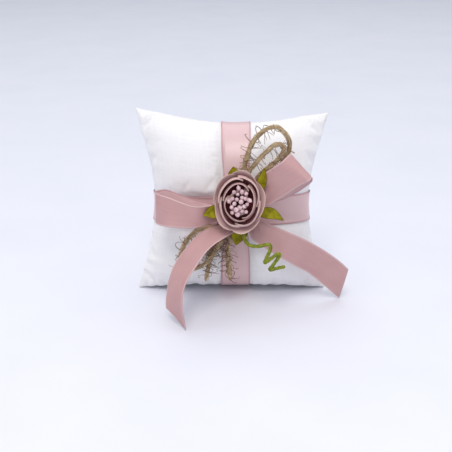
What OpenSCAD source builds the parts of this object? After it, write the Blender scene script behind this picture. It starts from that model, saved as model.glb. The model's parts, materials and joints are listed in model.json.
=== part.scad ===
// Ring bearer pillow: a small stuffed pillow, wrapped like a parcel in satin ribbon,
// with a bow, a fabric rose, leaves, a wire tendril and a spray of twine.
// Millimetres. +Z is up, +X is to the right, and the front faces -Y.
// The origin is the middle of the flattened underside that the pillow stands on.

/* [Pillow] */
// Width from corner to corner
pillow_w = 100; // [84:1:150]
// Height of the side edges, from bottom corner to top corner
pillow_h = 96; // [80:1:140]
// Thickness that the stuffing would have with no ribbon round it
pillow_t = 46; // [38:1:60]
// Width at the waist, where the side edges pull in
waist_w = 80; // [66:1:100]
// How far the top edge dips between its corners
top_dip = 7; // [0:0.5:12]
// How much lower the right-hand top corner sits than the left-hand one
corner_drop = 2.5; // [0:0.5:5]
// How far the bottom edge arches up between its corners
bottom_arch = 2.5; // [0:0.5:5]
// Angle that the pillow leans back from upright
lean = 10; // [4:1:13]
// How far the stuffing sags behind the bottom edge
back_sag = 10; // [8:0.5:14]
// Thickness of the cover cloth
cover_t = 0.6; // [0.4:0.1:1]
// Half the gap between the two panels at the edge, where the thread lies
seam_gap = 0.3; // [0.25:0.05:0.5]
// Thickness of the sewing thread
thread_d = 0.4; // [0.3:0.05:0.45]

/* [Ribbon] */
// Width of the satin ribbon
ribbon_w = 15; // [10:1:20]
// Thickness of the ribbon
ribbon_t = 0.4; // [0.3:0.05:0.8]
// Sideways place of the upright ribbon
ribbon_x = 2; // [-6:0.5:6]
// Height of the ribbon that runs across, up the pillow's front
ribbon_h = 45.5; // [38:0.5:60]
// How much of the stuffing's thickness the ribbon pulls in
pinch = 0.12; // [0.04:0.01:0.2]
// Width of the knot
knot_w = 13; // [10:0.5:16]
// Height of the knot
knot_h = 12; // [9:0.5:14]
// Thickness of the knot
knot_t = 7; // [5:0.5:9]
// How far the knot sits above the middle of the crossing
knot_up = 2; // [0:0.5:4]

/* [Rose] */
// Radius of the outer petals where they are widest
rose_r = 12.6; // [11:0.2:14]
// How much taller the rose is than it is wide
rose_stretch = 1.22; // [1:0.02:1.3]
// Depth of the rose from its base to the tips of its stamens
rose_depth = 12; // [10:0.5:15]
// Thickness of the petals
petal_t = 0.35; // [0.25:0.05:0.6]
// Diameter of the round stamen beads
bead_d = 2.3; // [1.8:0.1:2.6]
// Number of stamen beads
bead_count = 22; // [12:1:26]
// Thickness of the leaves
leaf_t = 0.35; // [0.25:0.05:0.6]

/* [Twine] */
// Thickness of the twine's core
vine_d = 2; // [1.4:0.1:2.6]
// Thickness of the tendril
tendril_d = 1.8; // [1.2:0.1:2.2]

/* [Hidden] */
petal_names = ["petal_inner_1", "petal_inner_2", "petal_inner_3",
    "petal_middle_1", "petal_middle_2", "petal_middle_3", "petal_middle_4",
    "petal_outer_1", "petal_outer_2", "petal_outer_3", "petal_outer_4", "petal_outer_5"];
leaf_names = ["leaf_top_left", "leaf_top_right", "leaf_right", "leaf_bottom", "leaf_left"];

linen = "#f2f1ef";
satin = "#d9b3b8";
petal_pink = "#cfa3a2";
burgundy = "#3a0f1e";
olive = "#7c8a1c";
jute = "#94755a";

clear = 0.3;             // gap between the ribbon and the cloth under it
seam_y = -11;            // the bottom edge, in front of the middle of the underside
edge_power = 2.4;        // how square the stuffed shape is
waist_power = 1.6;       // how sharply the corners flare from the waist
cloth_rows = 26;         // panels of the cloth up the pillow, and across it
wrap_rows = 22;          // stretches of ribbon over each face of the pillow
ribbon_cols = 4;         // strips across a ribbon's width

// ---- Vectors and curves ----
function unit(v) = v / max(norm(v), 0.000001);
function mix(a, b, s) = a + (b - a) * s;
function bump(d, flat, fade) = d <= flat ? 1 : d >= flat + fade ? 0
    : 0.5 + 0.5 * cos(180 * (d - flat) / fade);
function spread(n) = [for (i = [0:n]) sin(90 * (2 * i / n - 1))];
function curve_at(a, b, c, d, s) = 0.5 * (2 * b + (c - a) * s
    + (2 * a - 5 * b + 4 * c - d) * s * s + (3 * b - a - 3 * c + d) * s * s * s);
// A smooth curve through the points p, with n steps from each point to the next
function smooth(p, n) = let (e = len(p) - 1) concat(
    [for (i = [0:e - 1], k = [0:n - 1])
        curve_at(p[max(i - 1, 0)], p[i], p[i + 1], p[min(i + 2, e)], k / n)],
    [p[e]]);

// ---- Frames ----
// From the leaning pillow's own frame (across, depth, up the pillow) to the part's frame
function place(p) = [p[0], seam_y + p[1] * cos(lean) + p[2] * sin(lean),
    p[2] * cos(lean) - p[1] * sin(lean)];
// From the bow's frame (across, out of the front, up) to the part's frame
function bow(p) = place([ribbon_x + p[0], -bow_depth - p[1], ribbon_h + knot_up + p[2]]);
// From the rose's frame (across, up, out along its axis) to the part's frame
rose_tilt = 8;
rose_base = knot_t + 2.1;
function rose(p) = bow([1.3 + p[0],
    rose_base + p[2] * cos(rose_tilt) - p[1] * sin(rose_tilt),
    5 + p[1] * cos(rose_tilt) + p[2] * sin(rose_tilt)]);
// A point on a tail: across and forward of the knot, at a share of the knot's height
function drop(p) = [knot_at[0] + p[0], knot_at[1] + p[1], knot_at[2] * p[2]];

// ---- The stuffed shape ----
// u runs from -1 at the left edge to 1 at the right, and v from -1 at the bottom to 1 at the top
function half_w(v) = mix(waist_w, pillow_w, pow(abs(v), waist_power)) / 2;
function bottom_at(u) = bottom_arch * (1 - u * u);
function top_at(u) = pillow_h - top_dip * (1 - pow(abs(u), 1.5)) - corner_drop * (1 + u) / 2;
function height_at(u, v) = mix(bottom_at(u), top_at(u), (v + 1) / 2);
function v_at(u, h) = 2 * (h - bottom_at(u)) / (top_at(u) - bottom_at(u)) - 1;
function pulled_in(x, h) = 1 - pinch * max(
    bump(abs(x - ribbon_x), ribbon_w * 0.4, ribbon_w * 0.7),
    bump(abs(h - ribbon_h), ribbon_w * 0.4, ribbon_w * 0.7));
function half_t(u, v) = pillow_t / 2 * pulled_in(half_w(v) * u, height_at(u, v))
    * sqrt((1 - pow(abs(u), edge_power)) * (1 - pow(abs(v), edge_power)));
// The sag of the stuffing behind the bottom edge, and the lift of the cloth over the ribbon
function sag_at(u, v) = back_sag * (1 - u * u) * min(1, (1 + v) / 0.15)
    * bump(max(v + 0.7, 0), 0, 0.9);
function lift_at(x) = (ribbon_t + clear) * bump(abs(x - ribbon_x), ribbon_w / 2 + 1, 3);
// A point of the shape: side is -1 on the front and 1 on the back, and inset is from the outside
function shape_at(u, v, side, inset) =
    let (middle = pillow_h / 2,
        x = half_w(v) * u * (1 - 2 * inset / pillow_w),
        h = middle + (height_at(u, v) - middle) * (1 - 2 * inset / pillow_h),
        p = place([x, side * max(seam_gap, half_t(u, v) - inset), h]),
        low = p[2] - (side > 0 ? sag_at(u, v) : 0))
    [p[0], p[1], max(low, lift_at(p[0]) + inset)];
function shape_rows(side, inset) = [for (v = spread(cloth_rows))
    [for (u = spread(cloth_rows)) shape_at(u, v, side, inset)]];

crossing = half_t(ribbon_x / half_w(v_at(0, ribbon_h)), v_at(0, ribbon_h));
bow_depth = crossing + 2 * (ribbon_t + clear) + clear;
knot_at = bow([0, 0, 0]);

// ---- Solids ----
// A closed solid between two grids of points, a on the side of up the rows x along a row
module between(a, b, ring = false) {
    k = len(a);
    m = len(a[0]);
    n = 2 * m;
    points = [for (i = [0:k - 1]) each concat(a[i], [for (j = [m - 1:-1:0]) b[i][j]])];
    sides = [for (i = [0:ring ? k - 1 : k - 2], j = [0:n - 1])
        let (p = i * n + j, q = i * n + (j + 1) % n,
            r = (i + 1) % k * n + (j + 1) % n, s = (i + 1) % k * n + j)
        each [[p, q, r], [p, r, s]]];
    ends = ring ? [] : [for (j = [0:m - 2], e = [0, (k - 1) * n])
        let (p = e + j, q = e + j + 1, r = e + n - 2 - j, s = e + n - 1 - j)
        each e == 0 ? [[p, r, q], [p, s, r]] : [[p, q, r], [p, r, s]]];
    polyhedron(points, concat(sides, ends));
}
// A grid moved along its own normals
function normal_at(g, i, j, ring) = let (k = len(g), m = len(g[0]),
        up = ring ? g[(i + 1) % k][j] - g[(i + k - 1) % k][j]
            : g[min(i + 1, k - 1)][j] - g[max(i - 1, 0)][j],
        along = g[i][min(j + 1, m - 1)] - g[i][max(j - 1, 0)])
    unit(cross(up, along));
function moved(g, d, ring = false) = [for (i = [0:len(g) - 1])
    [for (j = [0:len(g[0]) - 1]) g[i][j] + normal_at(g, i, j, ring) * d]];
// A sheet of thickness t on one side of a grid
module sheet(g, t, ring = false) {
    between(moved(g, t, ring), g, ring);
}
// A round tube along a path, with its facets set out from the direction ref
module tube(path, d, sides = 8, ref = [0, 1, 0], ring = false) {
    k = len(path);
    rings = [for (i = [0:k - 1])
        let (ahead = ring ? path[(i + 1) % k] - path[(i + k - 1) % k]
                : path[min(i + 1, k - 1)] - path[max(i - 1, 0)],
            n = unit(cross(ahead, ref)),
            b = unit(cross(ahead, n)))
        [for (s = [0:sides - 1])
            path[i] + d / 2 * (n * cos(360 * s / sides) + b * sin(360 * s / sides))]];
    points = [for (r = rings) each r];
    walls = [for (i = [0:ring ? k - 1 : k - 2], s = [0:sides - 1])
        let (p = i * sides + s, q = i * sides + (s + 1) % sides,
            t = (i + 1) % k * sides + (s + 1) % sides, w = (i + 1) % k * sides + s)
        each [[p, w, t], [p, t, q]]];
    ends = ring ? [] : [[for (s = [0:sides - 1]) s],
        [for (s = [sides - 1:-1:0]) (k - 1) * sides + s]];
    polyhedron(points, concat(walls, ends));
}
// A solid drawn in the rose's frame, turned and moved to its place
module at_rose() {
    translate(rose([0, 0, 0])) rotate([90 - rose_tilt - lean, 0, 0]) children();
}

// ---- Pillow ----
module cover_front() {
    color(linen) between(shape_rows(-1, cover_t), shape_rows(-1, 0));
}
module cover_back() {
    color(linen) between(shape_rows(1, 0), shape_rows(1, cover_t));
}
fill_inset = cover_t + 0.6;
module filling() {
    color("white") between(shape_rows(1, fill_inset), shape_rows(-1, fill_inset));
}
// The edge of the pillow, set in by half the cloth
function edge_at(u, v) = let (s = 1 - cover_t / pillow_w)
    place([half_w(v) * u * s, 0,
        pillow_h / 2 + (height_at(u, v) - pillow_h / 2) * s]);
function edge_path(n) = concat(
    [for (i = [0:n - 1]) edge_at(mix(-1, 1, i / n), -1)],
    [for (i = [0:n - 1]) edge_at(1, mix(-1, 1, i / n))],
    [for (i = [0:n - 1]) edge_at(mix(1, -1, i / n), 1)],
    [for (i = [0:n - 1]) edge_at(-1, mix(1, -1, i / n))]);
module seam_thread() {
    color("white") tube(edge_path(12), thread_d, 5, ring = true);
}
stitch_count = 9;
stitch_pitch = 2.2;
stitch_start = ribbon_x + ribbon_w / 2 + 5;
module closing_stitches() {
    color("white") for (i = [0:stitch_count - 1]) {
        x = stitch_start + i * stitch_pitch;
        translate(place([x, 0, bottom_at(2 * x / pillow_w) - thread_d / 2 - 0.05]))
            rotate([90 - lean, 0, 0])
            cylinder(h = 4 * seam_gap, d = thread_d, center = true, $fn = 16);
    }
}

// ---- Ribbon round the pillow ----
// Distance of the upright ribbon's near face from the shape, and of the one across
function across_lift(x) = clear
    + (ribbon_t + clear) * bump(abs(x - ribbon_x), ribbon_w / 2 + 1, 4);
strips = [for (j = [0:ribbon_cols]) (j / ribbon_cols - 0.5) * ribbon_w];
loop_uv = concat([for (s = spread(wrap_rows)) [s, -1]], [for (s = spread(wrap_rows)) [-s, 1]]);
upright_rows = [for (q = loop_uv)
    [for (x = strips) shape_at((ribbon_x + x) / half_w(q[0]), q[0], q[1], 0)]];
across_rows = [for (q = loop_uv)
    [for (h = strips) shape_at(q[0], v_at(q[0], ribbon_h + h), q[1], 0)]];
module ribbon_wrap_vertical() {
    color(satin) between(moved(upright_rows, -clear, true),
        moved(upright_rows, -clear - ribbon_t, true), true);
}
function lifted(g, extra) = let (n = len(g)) [for (i = [0:n - 1])
    [for (j = [0:ribbon_cols]) g[i][j]
        + normal_at(g, i, j, true) * (across_lift(g[i][j][0]) + extra)]];
module ribbon_wrap_horizontal() {
    color(satin) between(lifted(across_rows, ribbon_t), lifted(across_rows, 0), true);
}

// ---- Bow ----
module bow_knot() {
    r = 2.5;
    color(satin) translate(bow([0, knot_t / 2, 0])) rotate([-lean, 0, 0]) hull()
        for (x = [-1, 1], y = [-1, 1], z = [-1, 1])
            translate([x * (knot_w / 2 - r), y * (knot_t / 2 - r), z * (knot_h / 2 - r)])
                sphere(r, $fn = 16);
}
// A ribbon through stations, each with the two ends of a line across it
module ribbon_through(stations, steps) {
    first = smooth([for (s = stations) s[0]], steps);
    second = smooth([for (s = stations) s[1]], steps);
    color(satin) sheet([for (i = [0:len(first) - 1])
        [for (j = [0:3]) mix(first[i], second[i], j / 3)]], ribbon_t);
}
// The stations are in the bow's frame: across, out of the front, up
left_loop = [
    [[-6.9, 4, 3], [-6.9, 4, -5.4]],
    [[-13, 9.5, 3], [-13, 9.5, -6]],
    [[-21, 15.5, 4], [-21, 15.5, -7]],
    [[-33, 15, 8], [-33, 15, -6.4]],
    [[-39.5, 8, 9.5], [-39.5, 8, -6]],
    [[-34, 2.5, 9.6], [-34, 2.5, -5]],
    [[-22, 3, 5.2], [-22, 3, -7]],
    [[-12, 2.5, 2.8], [-12, 2.5, -5.5]],
    [[-6.5, 2, 2], [-6.5, 2, -4]]];
right_loop = [
    [[6, 5, 8.5], [7.2, 5, 1]],
    [[12.5, 10, 18], [16.5, 10.5, 3.5]],
    [[20.4, 16, 24.4], [30.6, 16, 13.8]],
    [[24.4, 15, 27.8], [35, 15, 16.4]],
    [[25.9, 11.5, 28.8], [36.5, 11.5, 17.2]],
    [[25.2, 6.5, 27.2], [36.3, 6.5, 13.5]],
    [[16, 4.5, 18.4], [24.4, 4.5, 5.6]],
    [[6.8, 3, 9], [8.5, 3, 1]]];
// The tails' stations are across and forward of the knot, and a share of its height
left_tail = [
    [[-4.5, -7.4, 0.88], [3.5, -7.4, 0.85]],
    [[-15, -10, 0.86], [-4, -16, 0.83]],
    [[-22, -14, 0.75], [-13, -23, 0.76]],
    [[-28.5, -18, 0.6], [-19, -28, 0.63]],
    [[-32.5, -22, 0.46], [-24, -33, 0.48]],
    [[-34.5, -25, 0.26], [-25.5, -36, 0.3]],
    [[-34.5, -26, 0.16], [-24.5, -34.5, 0.005]]];
right_tail = [
    [[7.2, -4, 0.98], [7, -4, 0.85]],
    [[16, -7, 0.89], [8, -7.5, 0.73]],
    [[26.5, -8, 0.8], [20, -9, 0.57]],
    [[36, -7, 0.7], [29.5, -7, 0.44]],
    [[44.5, -4, 0.58], [37.5, -4, 0.32]],
    [[52.5, -2, 0.45], [46, -2, 0.16]],
    [[58, -1, 0.34], [54, 0, 0.002]]];
module bow_loop_left() {
    ribbon_through([for (s = left_loop) [bow(s[0]), bow(s[1])]], 3);
}
module bow_loop_right() {
    ribbon_through([for (s = right_loop) [bow(s[0]), bow(s[1])]], 4);
}
module bow_tail_left() {
    ribbon_through([for (s = left_tail) [drop(s[0]), drop(s[1])]], 3);
}
module bow_tail_right() {
    ribbon_through([for (s = right_tail) [drop(s[0]), drop(s[1])]], 3);
}

// ---- Rose ----
module glue_pad() {
    color("ivory") at_rose() translate([0, 0, -1.9]) cylinder(h = 0.8, r = 4.5, $fn = 32);
}
module stem_wire() {
    color(olive) at_rose() translate([0, 0, -1.1]) cylinder(h = 1.1, d = 0.8, $fn = 24);
}
calyx_h = 1.6;
core_h = 0.42 * rose_depth;
core_r = 4.2;
module rose_calyx() {
    color(olive) at_rose() rotate_extrude($fn = 48)
        polygon([[0, 0], [2.4, 0], [3.4, calyx_h], [0, calyx_h]]);
}
module rose_core() {
    color(burgundy) at_rose() translate([0, 0, calyx_h]) rotate_extrude($fn = 48)
        polygon(concat([[0, 0], [3, 0]],
            [for (a = [0:15:90]) [core_r * cos(a), core_h - 1.6 + 1.6 * sin(a)]]));
}
// The beads stand on a spiral, a golden angle apart
golden = 137.508;
bead_spread = 5.4;       // how far the outermost bead is from the axis
bead_steps = 1.6;        // how far the deepest bead is set below the others
function bead_reach(i) = bead_spread * sqrt((i + 0.6) / bead_count);
function bead_spot(i) = [bead_reach(i) * cos(golden * i),
    bead_reach(i) * sin(golden * i) * 1.35,
    rose_depth - bead_d / 2 - 0.032 * pow(bead_reach(i), 2) - bead_steps * ((2 * i) % 7) / 6];
// A bead whose neighbour is too near is made smaller, so that no two beads touch
bead_gap = 0.08;
function bead_size(i) = min(bead_d, min([for (j = [0:bead_count - 1]) if (j != i)
    norm(bead_spot(i) - bead_spot(j))]) - bead_gap);
function stem_foot(i) = [0.5 * bead_spot(i)[0], 0.4 * bead_spot(i)[1], calyx_h + core_h];
module stamen_stems() {
    color(burgundy) at_rose() for (i = [0:bead_count - 1]) {
        foot = stem_foot(i);
        rise = bead_spot(i) - foot;
        translate(foot) rotate([0, acos(rise[2] / norm(rise)), atan2(rise[1], rise[0])])
            cylinder(h = norm(rise) - bead_size(i) / 2, d = 0.4, $fn = 16);
    }
}
module stamen_beads() {
    color("#e6c4c6") at_rose() for (i = [0:bead_count - 1])
        translate(bead_spot(i)) sphere(d = bead_size(i), $fn = 32);
}
// One petal: a cupped patch round the rose's axis. It swells from its root to its belly, and
// from there its rim is drawn in. The corners of its rim are rounded back.
petal_rows = 7;
petal_cols = 7;
petal_lap = 0.5;         // one side of a petal lies outside its neighbour, the other inside
function petal_grid(p, z0, z1) = [for (i = [0:petal_rows])
    let (turn = p[0], span = p[1], root = p[2], belly = p[3], rim = p[4], belly_at = p[6],
        q = i / petal_rows,
        out = sin(90 * min(q / belly_at, 1)),
        in = belly_at < 1 ? pow(max(q - belly_at, 0) / (1 - belly_at), 1.6) : 0)
    [for (j = [0:petal_cols])
        let (s = 2 * j / petal_cols - 1,
            a = turn + span * s * (0.62 + 0.38 * sin(90 * q)),
            off = q * q * s * s,
            r = mix(root, belly, out) + (rim - belly) * in - p[7] * off
                + petal_lap * s * (0.5 + 0.5 * q),
            z = mix(z0, z1, pow(q, 1.1)) - (1.4 + p[7]) * off * q)
        rose([r * cos(a), r * sin(a) * rose_stretch, z])]];
// Each petal: where it points, half its span, its radius at the root, the belly and the rim,
// its rim's share of the rose's depth, where up it the belly is, and its rounding. The outer
// petals stand open, and the inner ones are still drawn in.
function inner(turn, out, share) = [turn, 68, 4.6, rose_r - 4.8 + out, 6.9, share, 0.5, 0.4];
function middle(turn, out) = [turn, 54, 5.8, rose_r - 2.5 + out, rose_r - 3.5 + out, 0.8,
    0.75, 0.6];
function outer(turn, out, share) = [turn, 46, 7.1, rose_r + out, rose_r + out, share, 1, 1.4];
petals = [inner(110, 0, 0.88), inner(230, 0, 0.88), inner(350, 0.7, 0.86),
    middle(40, 0.3), middle(130, 0), middle(220, 0), middle(310, 0.3),
    outer(70, -0.4, 0.66), outer(142, -0.3, 0.66), outer(214, -0.2, 0.64),
    outer(286, 0, 0.62), outer(358, -0.2, 0.66)];
module petal(i) {
    p = petals[i];
    color(petal_pink) sheet(petal_grid(p, calyx_h + 0.3 - 0.06 * i, p[5] * rose_depth),
        petal_t);
}
// One leaf: a pointed sheet with a fold along its midrib, from foot to tip in the rose's frame
leaf_rows = 8;
function leaf_grid(foot, tip, half_width, fold, droop) =
    let (along = tip - foot, across = unit(cross([0, 0, 1], along)))
    [for (i = [0:leaf_rows])
        let (q = i / leaf_rows, w = half_width * (0.06 + sin(180 * pow(q, 0.8))))
        [for (j = [0:4]) let (s = j / 2 - 1)
            rose(foot + along * q + across * w * s
                + [0, 0, fold * abs(s) * w - droop * q * q])]];
// Each leaf: its foot, its tip, half its width, its fold and its droop
leaves = [
    [[-1.5, 8, -0.6], [-2.8, 17, 1], 3.6, 0.3, 0.4],
    [[9.8, 3.6, 1.2], [12.5, 16.4, 4.3], 2.5, 0.6, -0.4],
    [[8, -5.2, -0.8], [22, -9.4, 0.6], 2.9, 0.3, 1],
    [[1.6, -10, -1.6], [-1.6, -21.6, 0], 4.1, 0.2, 0.6],
    [[-7, -3.6, 0.2], [-17.4, -6.6, 3.6], 3.3, 0.3, 0.4]];
leaf_ring = 12.6;        // radius of the belly that the leaves are laid out round
module leaf(i) {
    p = leaves[i];
    out = unit([p[0][0], p[0][1], 0]) * (rose_r - leaf_ring);
    color(olive) sheet(leaf_grid(p[0] + out, p[1] + out, p[2], p[3], p[4]), leaf_t);
}

// ---- Twine and tendril ----
// The routes are in the bow's frame: across, out of the front, up
outer_route = [[2, 4, 8.5], [2.5, 5.6, 14], [3.5, 6.6, 20], [5, 7, 26], [7.5, 7, 33],
    [11, 7, 37.5], [15.5, 7, 40.5], [20, 7, 41], [24, 6.5, 37.5], [26, 5, 33], [25.5, 3, 28],
    [22, 2, 22], [17, 1.8, 16], [12, 1.8, 11]];
inner_route = [[4, 6, 11], [6, 8.4, 19], [11.5, 10.6, 26.5], [16, 11, 31], [19, 11, 33.2],
    [22, 10.6, 32.6], [23, 10, 29.8], [20, 9, 25.5], [15.8, 8, 21.5], [11, 6.2, 17],
    [8.4, 5.4, 12.6]];
lower_route = [[-5, 4.4, -7.8], [-10, 6.5, -8.4], [-17, 8.6, -8.8], [-22, 9, -12],
    [-26, 8, -17.6], [-27.6, 7, -23], [-26.6, 6, -27.6], [-23, 5.8, -30], [-18.6, 5.8, -29],
    [-14.6, 6, -26.6], [-11.4, 6, -22.6], [-8.8, 6.2, -18], [-6.6, 6.2, -14],
    [-5.6, 5.6, -10.6]];
short_route = [[-3, 2, -8], [-6, 2.4, -12.6], [-10, 2.6, -17.6], [-12.6, 2.6, -22.6],
    [-13.4, 2.8, -27.6], [-14.6, 3.4, -33.4], [-15.4, 4, -37]];
long_route = [[-1, 4, -8], [-3, 4.2, -12], [-4, 4.2, -17], [-4, 4.2, -22], [-3.8, 4, -27],
    [-3.4, 3.4, -32], [-3, 2.6, -37]];
// The tendril lies in front of the knot, so its distances out are from the knot's face
tendril_route = [[2.5, 3.6, -6], [3.4, 5.2, -10], [4.4, 6.6, -13.4], [6.5, 7.6, -15.8],
    [11, 8, -16.2], [14.6, 8, -15.4], [16.6, 8, -15.8], [16.4, 8, -18.6], [14.6, 8, -22.6],
    [14.2, 8, -24.4], [17, 8, -22.4], [20.4, 8, -20], [21.2, 8, -21], [18.6, 8, -25],
    [16.6, 8, -28], [19.6, 8, -27.4], [24, 8, -26.4]];
function in_bow(route) = [for (p = route) bow(p)];
function in_front(route) = [for (p = route) bow(p + [0, knot_t, 0])];
module vine_loop_outer() {
    color(jute) tube(in_bow(outer_route), vine_d);
}
module vine_loop_inner() {
    color(jute) tube(in_bow(inner_route), vine_d);
}
module vine_loop_lower() {
    color(jute) tube(in_bow(lower_route), vine_d);
}
module vine_end_short() {
    color(jute) tube(in_bow(short_route), vine_d);
}
module vine_end_long() {
    color(jute) tube(in_bow(long_route), vine_d);
}
module tendril() {
    color(olive) tube(in_front(tendril_route), tendril_d);
}
binding_r = 2.6;
module vine_binding_wire() {
    color("silver") at_rose() translate([0, 0, -0.5]) rotate_extrude($fn = 48)
        translate([binding_r, 0]) circle(d = 0.6, $fn = 16);
}

cover_front();
cover_back();
filling();
seam_thread();
closing_stitches();
ribbon_wrap_vertical();
ribbon_wrap_horizontal();
bow_knot();
bow_loop_left();
bow_loop_right();
bow_tail_left();
bow_tail_right();
glue_pad();
stem_wire();
rose_calyx();
rose_core();
stamen_stems();
stamen_beads();
for (i = [0:len(petal_names) - 1]) {
    petal(i);
}
for (i = [0:len(leaf_names) - 1]) {
    leaf(i);
}
tendril();
vine_loop_outer();
vine_loop_inner();
vine_loop_lower();
vine_end_short();
vine_end_long();
vine_binding_wire();
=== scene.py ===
"""Ring bearer pillow: its looks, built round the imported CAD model.

Lengths inside the classes are millimetres in the part's own frame: +X is to the right, +Z is
up, and the front faces -Y. MM turns them to metres as a mesh is written.
"""

from __future__ import annotations

import json
import logging
import math
import random
from contextlib import contextmanager
from dataclasses import dataclass
from enum import Enum
from typing import ClassVar, Iterator, Sequence

import bpy
import numpy as np
from mathutils import Matrix, Vector

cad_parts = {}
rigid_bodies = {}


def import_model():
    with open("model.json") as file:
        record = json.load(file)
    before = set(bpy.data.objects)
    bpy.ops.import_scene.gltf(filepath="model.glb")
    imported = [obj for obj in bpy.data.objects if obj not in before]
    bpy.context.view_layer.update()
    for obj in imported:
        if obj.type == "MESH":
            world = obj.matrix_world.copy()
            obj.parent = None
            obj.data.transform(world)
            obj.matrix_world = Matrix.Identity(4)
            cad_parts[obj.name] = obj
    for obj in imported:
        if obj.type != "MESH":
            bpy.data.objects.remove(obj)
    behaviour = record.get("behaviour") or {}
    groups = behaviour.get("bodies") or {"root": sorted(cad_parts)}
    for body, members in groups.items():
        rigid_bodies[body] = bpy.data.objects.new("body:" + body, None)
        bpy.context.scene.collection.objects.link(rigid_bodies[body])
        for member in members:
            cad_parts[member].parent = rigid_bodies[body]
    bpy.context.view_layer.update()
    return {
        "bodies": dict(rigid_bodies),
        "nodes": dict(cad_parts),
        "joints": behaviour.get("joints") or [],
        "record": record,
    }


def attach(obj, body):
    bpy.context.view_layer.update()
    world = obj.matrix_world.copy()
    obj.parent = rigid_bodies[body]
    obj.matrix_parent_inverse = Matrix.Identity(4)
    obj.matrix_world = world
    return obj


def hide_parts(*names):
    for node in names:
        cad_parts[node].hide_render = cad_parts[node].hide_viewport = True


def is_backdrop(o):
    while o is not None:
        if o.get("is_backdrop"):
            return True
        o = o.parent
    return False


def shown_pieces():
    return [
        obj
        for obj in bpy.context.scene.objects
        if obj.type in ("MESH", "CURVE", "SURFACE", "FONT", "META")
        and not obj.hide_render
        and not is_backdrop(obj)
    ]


Array = np.ndarray
Piece = bpy.types.Object
Socket = bpy.types.NodeSocket

LOG = logging.getLogger("ring_pillow")
MM = 0.001
BODY = "root"


# ---- Curves and grids ----


def mix(a: Array, b: Array, share: Array) -> Array:
    """Goes from a to b by a share from 0 to 1."""
    return a + (b - a) * share


def bump(distance: Array, flat: float, fade: float) -> Array:
    """Is 1 up to the distance flat, and falls smoothly to 0 over the next fade."""
    share = np.clip((np.asarray(distance, float) - flat) / fade, 0, 1)
    return 0.5 + 0.5 * np.cos(np.pi * share)


def smooth(points: Sequence[Sequence[float]], steps: int) -> Array:
    """Draws a smooth curve through points.

    Args:
        points: The points, in order.
        steps: How many steps the curve takes from each point to the next.

    Returns:
        The curve's points, one to a row.
    """
    p = np.asarray(points, float)
    last = len(p) - 1
    curve = []
    for i in range(last):
        a, b, c, d = p[max(i - 1, 0)], p[i], p[i + 1], p[min(i + 2, last)]
        for s in np.arange(steps) / steps:
            bend = (2 * a - 5 * b + 4 * c - d) * s * s + (3 * b - a - 3 * c + d) * s**3
            curve.append(0.5 * (2 * b + (c - a) * s + bend))
    curve.append(p[last])
    return np.array(curve)


def crowded(count: int, share: float) -> Array:
    """Spaces points from -1 to 1, closer together towards the ends by a share."""
    line = np.linspace(-1, 1, count)
    return mix(line, np.sin(line * math.pi / 2), share)


def strip_shares(rows: int, columns: int) -> Sequence[Array]:
    """Gives each point's place up a strip, from 0 to 1, and across it, from -1 to 1."""
    return np.meshgrid(np.linspace(0, 1, rows), np.linspace(-1, 1, columns), indexing="ij")


def reach(path: Array) -> Array:
    """Gives the distance along a path at each of its points."""
    return np.concatenate([[0], np.cumsum(np.linalg.norm(np.diff(path, axis=0), axis=1))])


def at_reach(rows: Array, along: Array, wanted: Array) -> Array:
    """Reads rows that go with the distances along a path at other distances."""
    return np.stack([np.interp(wanted, along, rows[:, i]) for i in range(3)], -1)


def unit(vectors: Array) -> Array:
    """Scales vectors to a length of 1."""
    return vectors / np.maximum(np.linalg.norm(vectors, axis=-1, keepdims=True), 1e-9)


def grid_normals(grid: Array, ring: bool = False) -> Array:
    """Finds the way each point of a grid faces: up the rows crossed with along a row.

    Args:
        grid: Points by row and column.
        ring: Whether the last row is the first one again.

    Returns:
        A unit vector for each point.
    """
    if ring:
        closed = np.concatenate([grid[-2:-1], grid, grid[1:2]])
        up = closed[2:] - closed[:-2]
    else:
        up = np.gradient(grid, axis=0)
    return unit(np.cross(up, np.gradient(grid, axis=1)))


def carried_frames(path: Array) -> tuple[Array, Array]:
    """Carries two directions along a path with no twist.

    Args:
        path: The path's points.

    Returns:
        Two unit vectors at each point, square to the path and to each other.
    """
    ahead = unit(np.gradient(path, axis=0))
    side = np.zeros_like(path)
    side[0] = unit(np.cross(ahead[0], [0.3, 0.2, 1.0]))
    for i in range(1, len(path)):
        kept = side[i - 1] - ahead[i] * np.dot(side[i - 1], ahead[i])
        side[i] = kept / np.linalg.norm(kept)
    return side, np.cross(ahead, side)


# ---- Meshes ----


def clear_selection() -> None:
    """Deselects every object, as before a primitive is added."""
    for other in bpy.context.view_layer.objects:
        other.select_set(False)


def select_only(obj: Piece) -> None:
    """Deselects everything, then selects obj and makes it active."""
    clear_selection()
    obj.select_set(True)
    bpy.context.view_layer.objects.active = obj


@contextmanager
def editing(select: str = "SELECT") -> Iterator[None]:
    """Edits the active object's mesh, with all of it selected or none, then goes back."""
    bpy.ops.object.mode_set(mode="EDIT")
    bpy.ops.mesh.select_all(action=select)
    yield
    bpy.ops.object.mode_set(mode="OBJECT")


def read_points(mesh: bpy.types.Mesh) -> Array:
    """Reads a mesh's points, one to a row, in its own units."""
    flat = np.zeros(len(mesh.vertices) * 3)
    mesh.vertices.foreach_get("co", flat)
    return flat.reshape(-1, 3)


def write_points(mesh: bpy.types.Mesh, points: Array) -> None:
    """Moves a mesh's points."""
    mesh.vertices.foreach_set("co", points.ravel())
    mesh.update()


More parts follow.
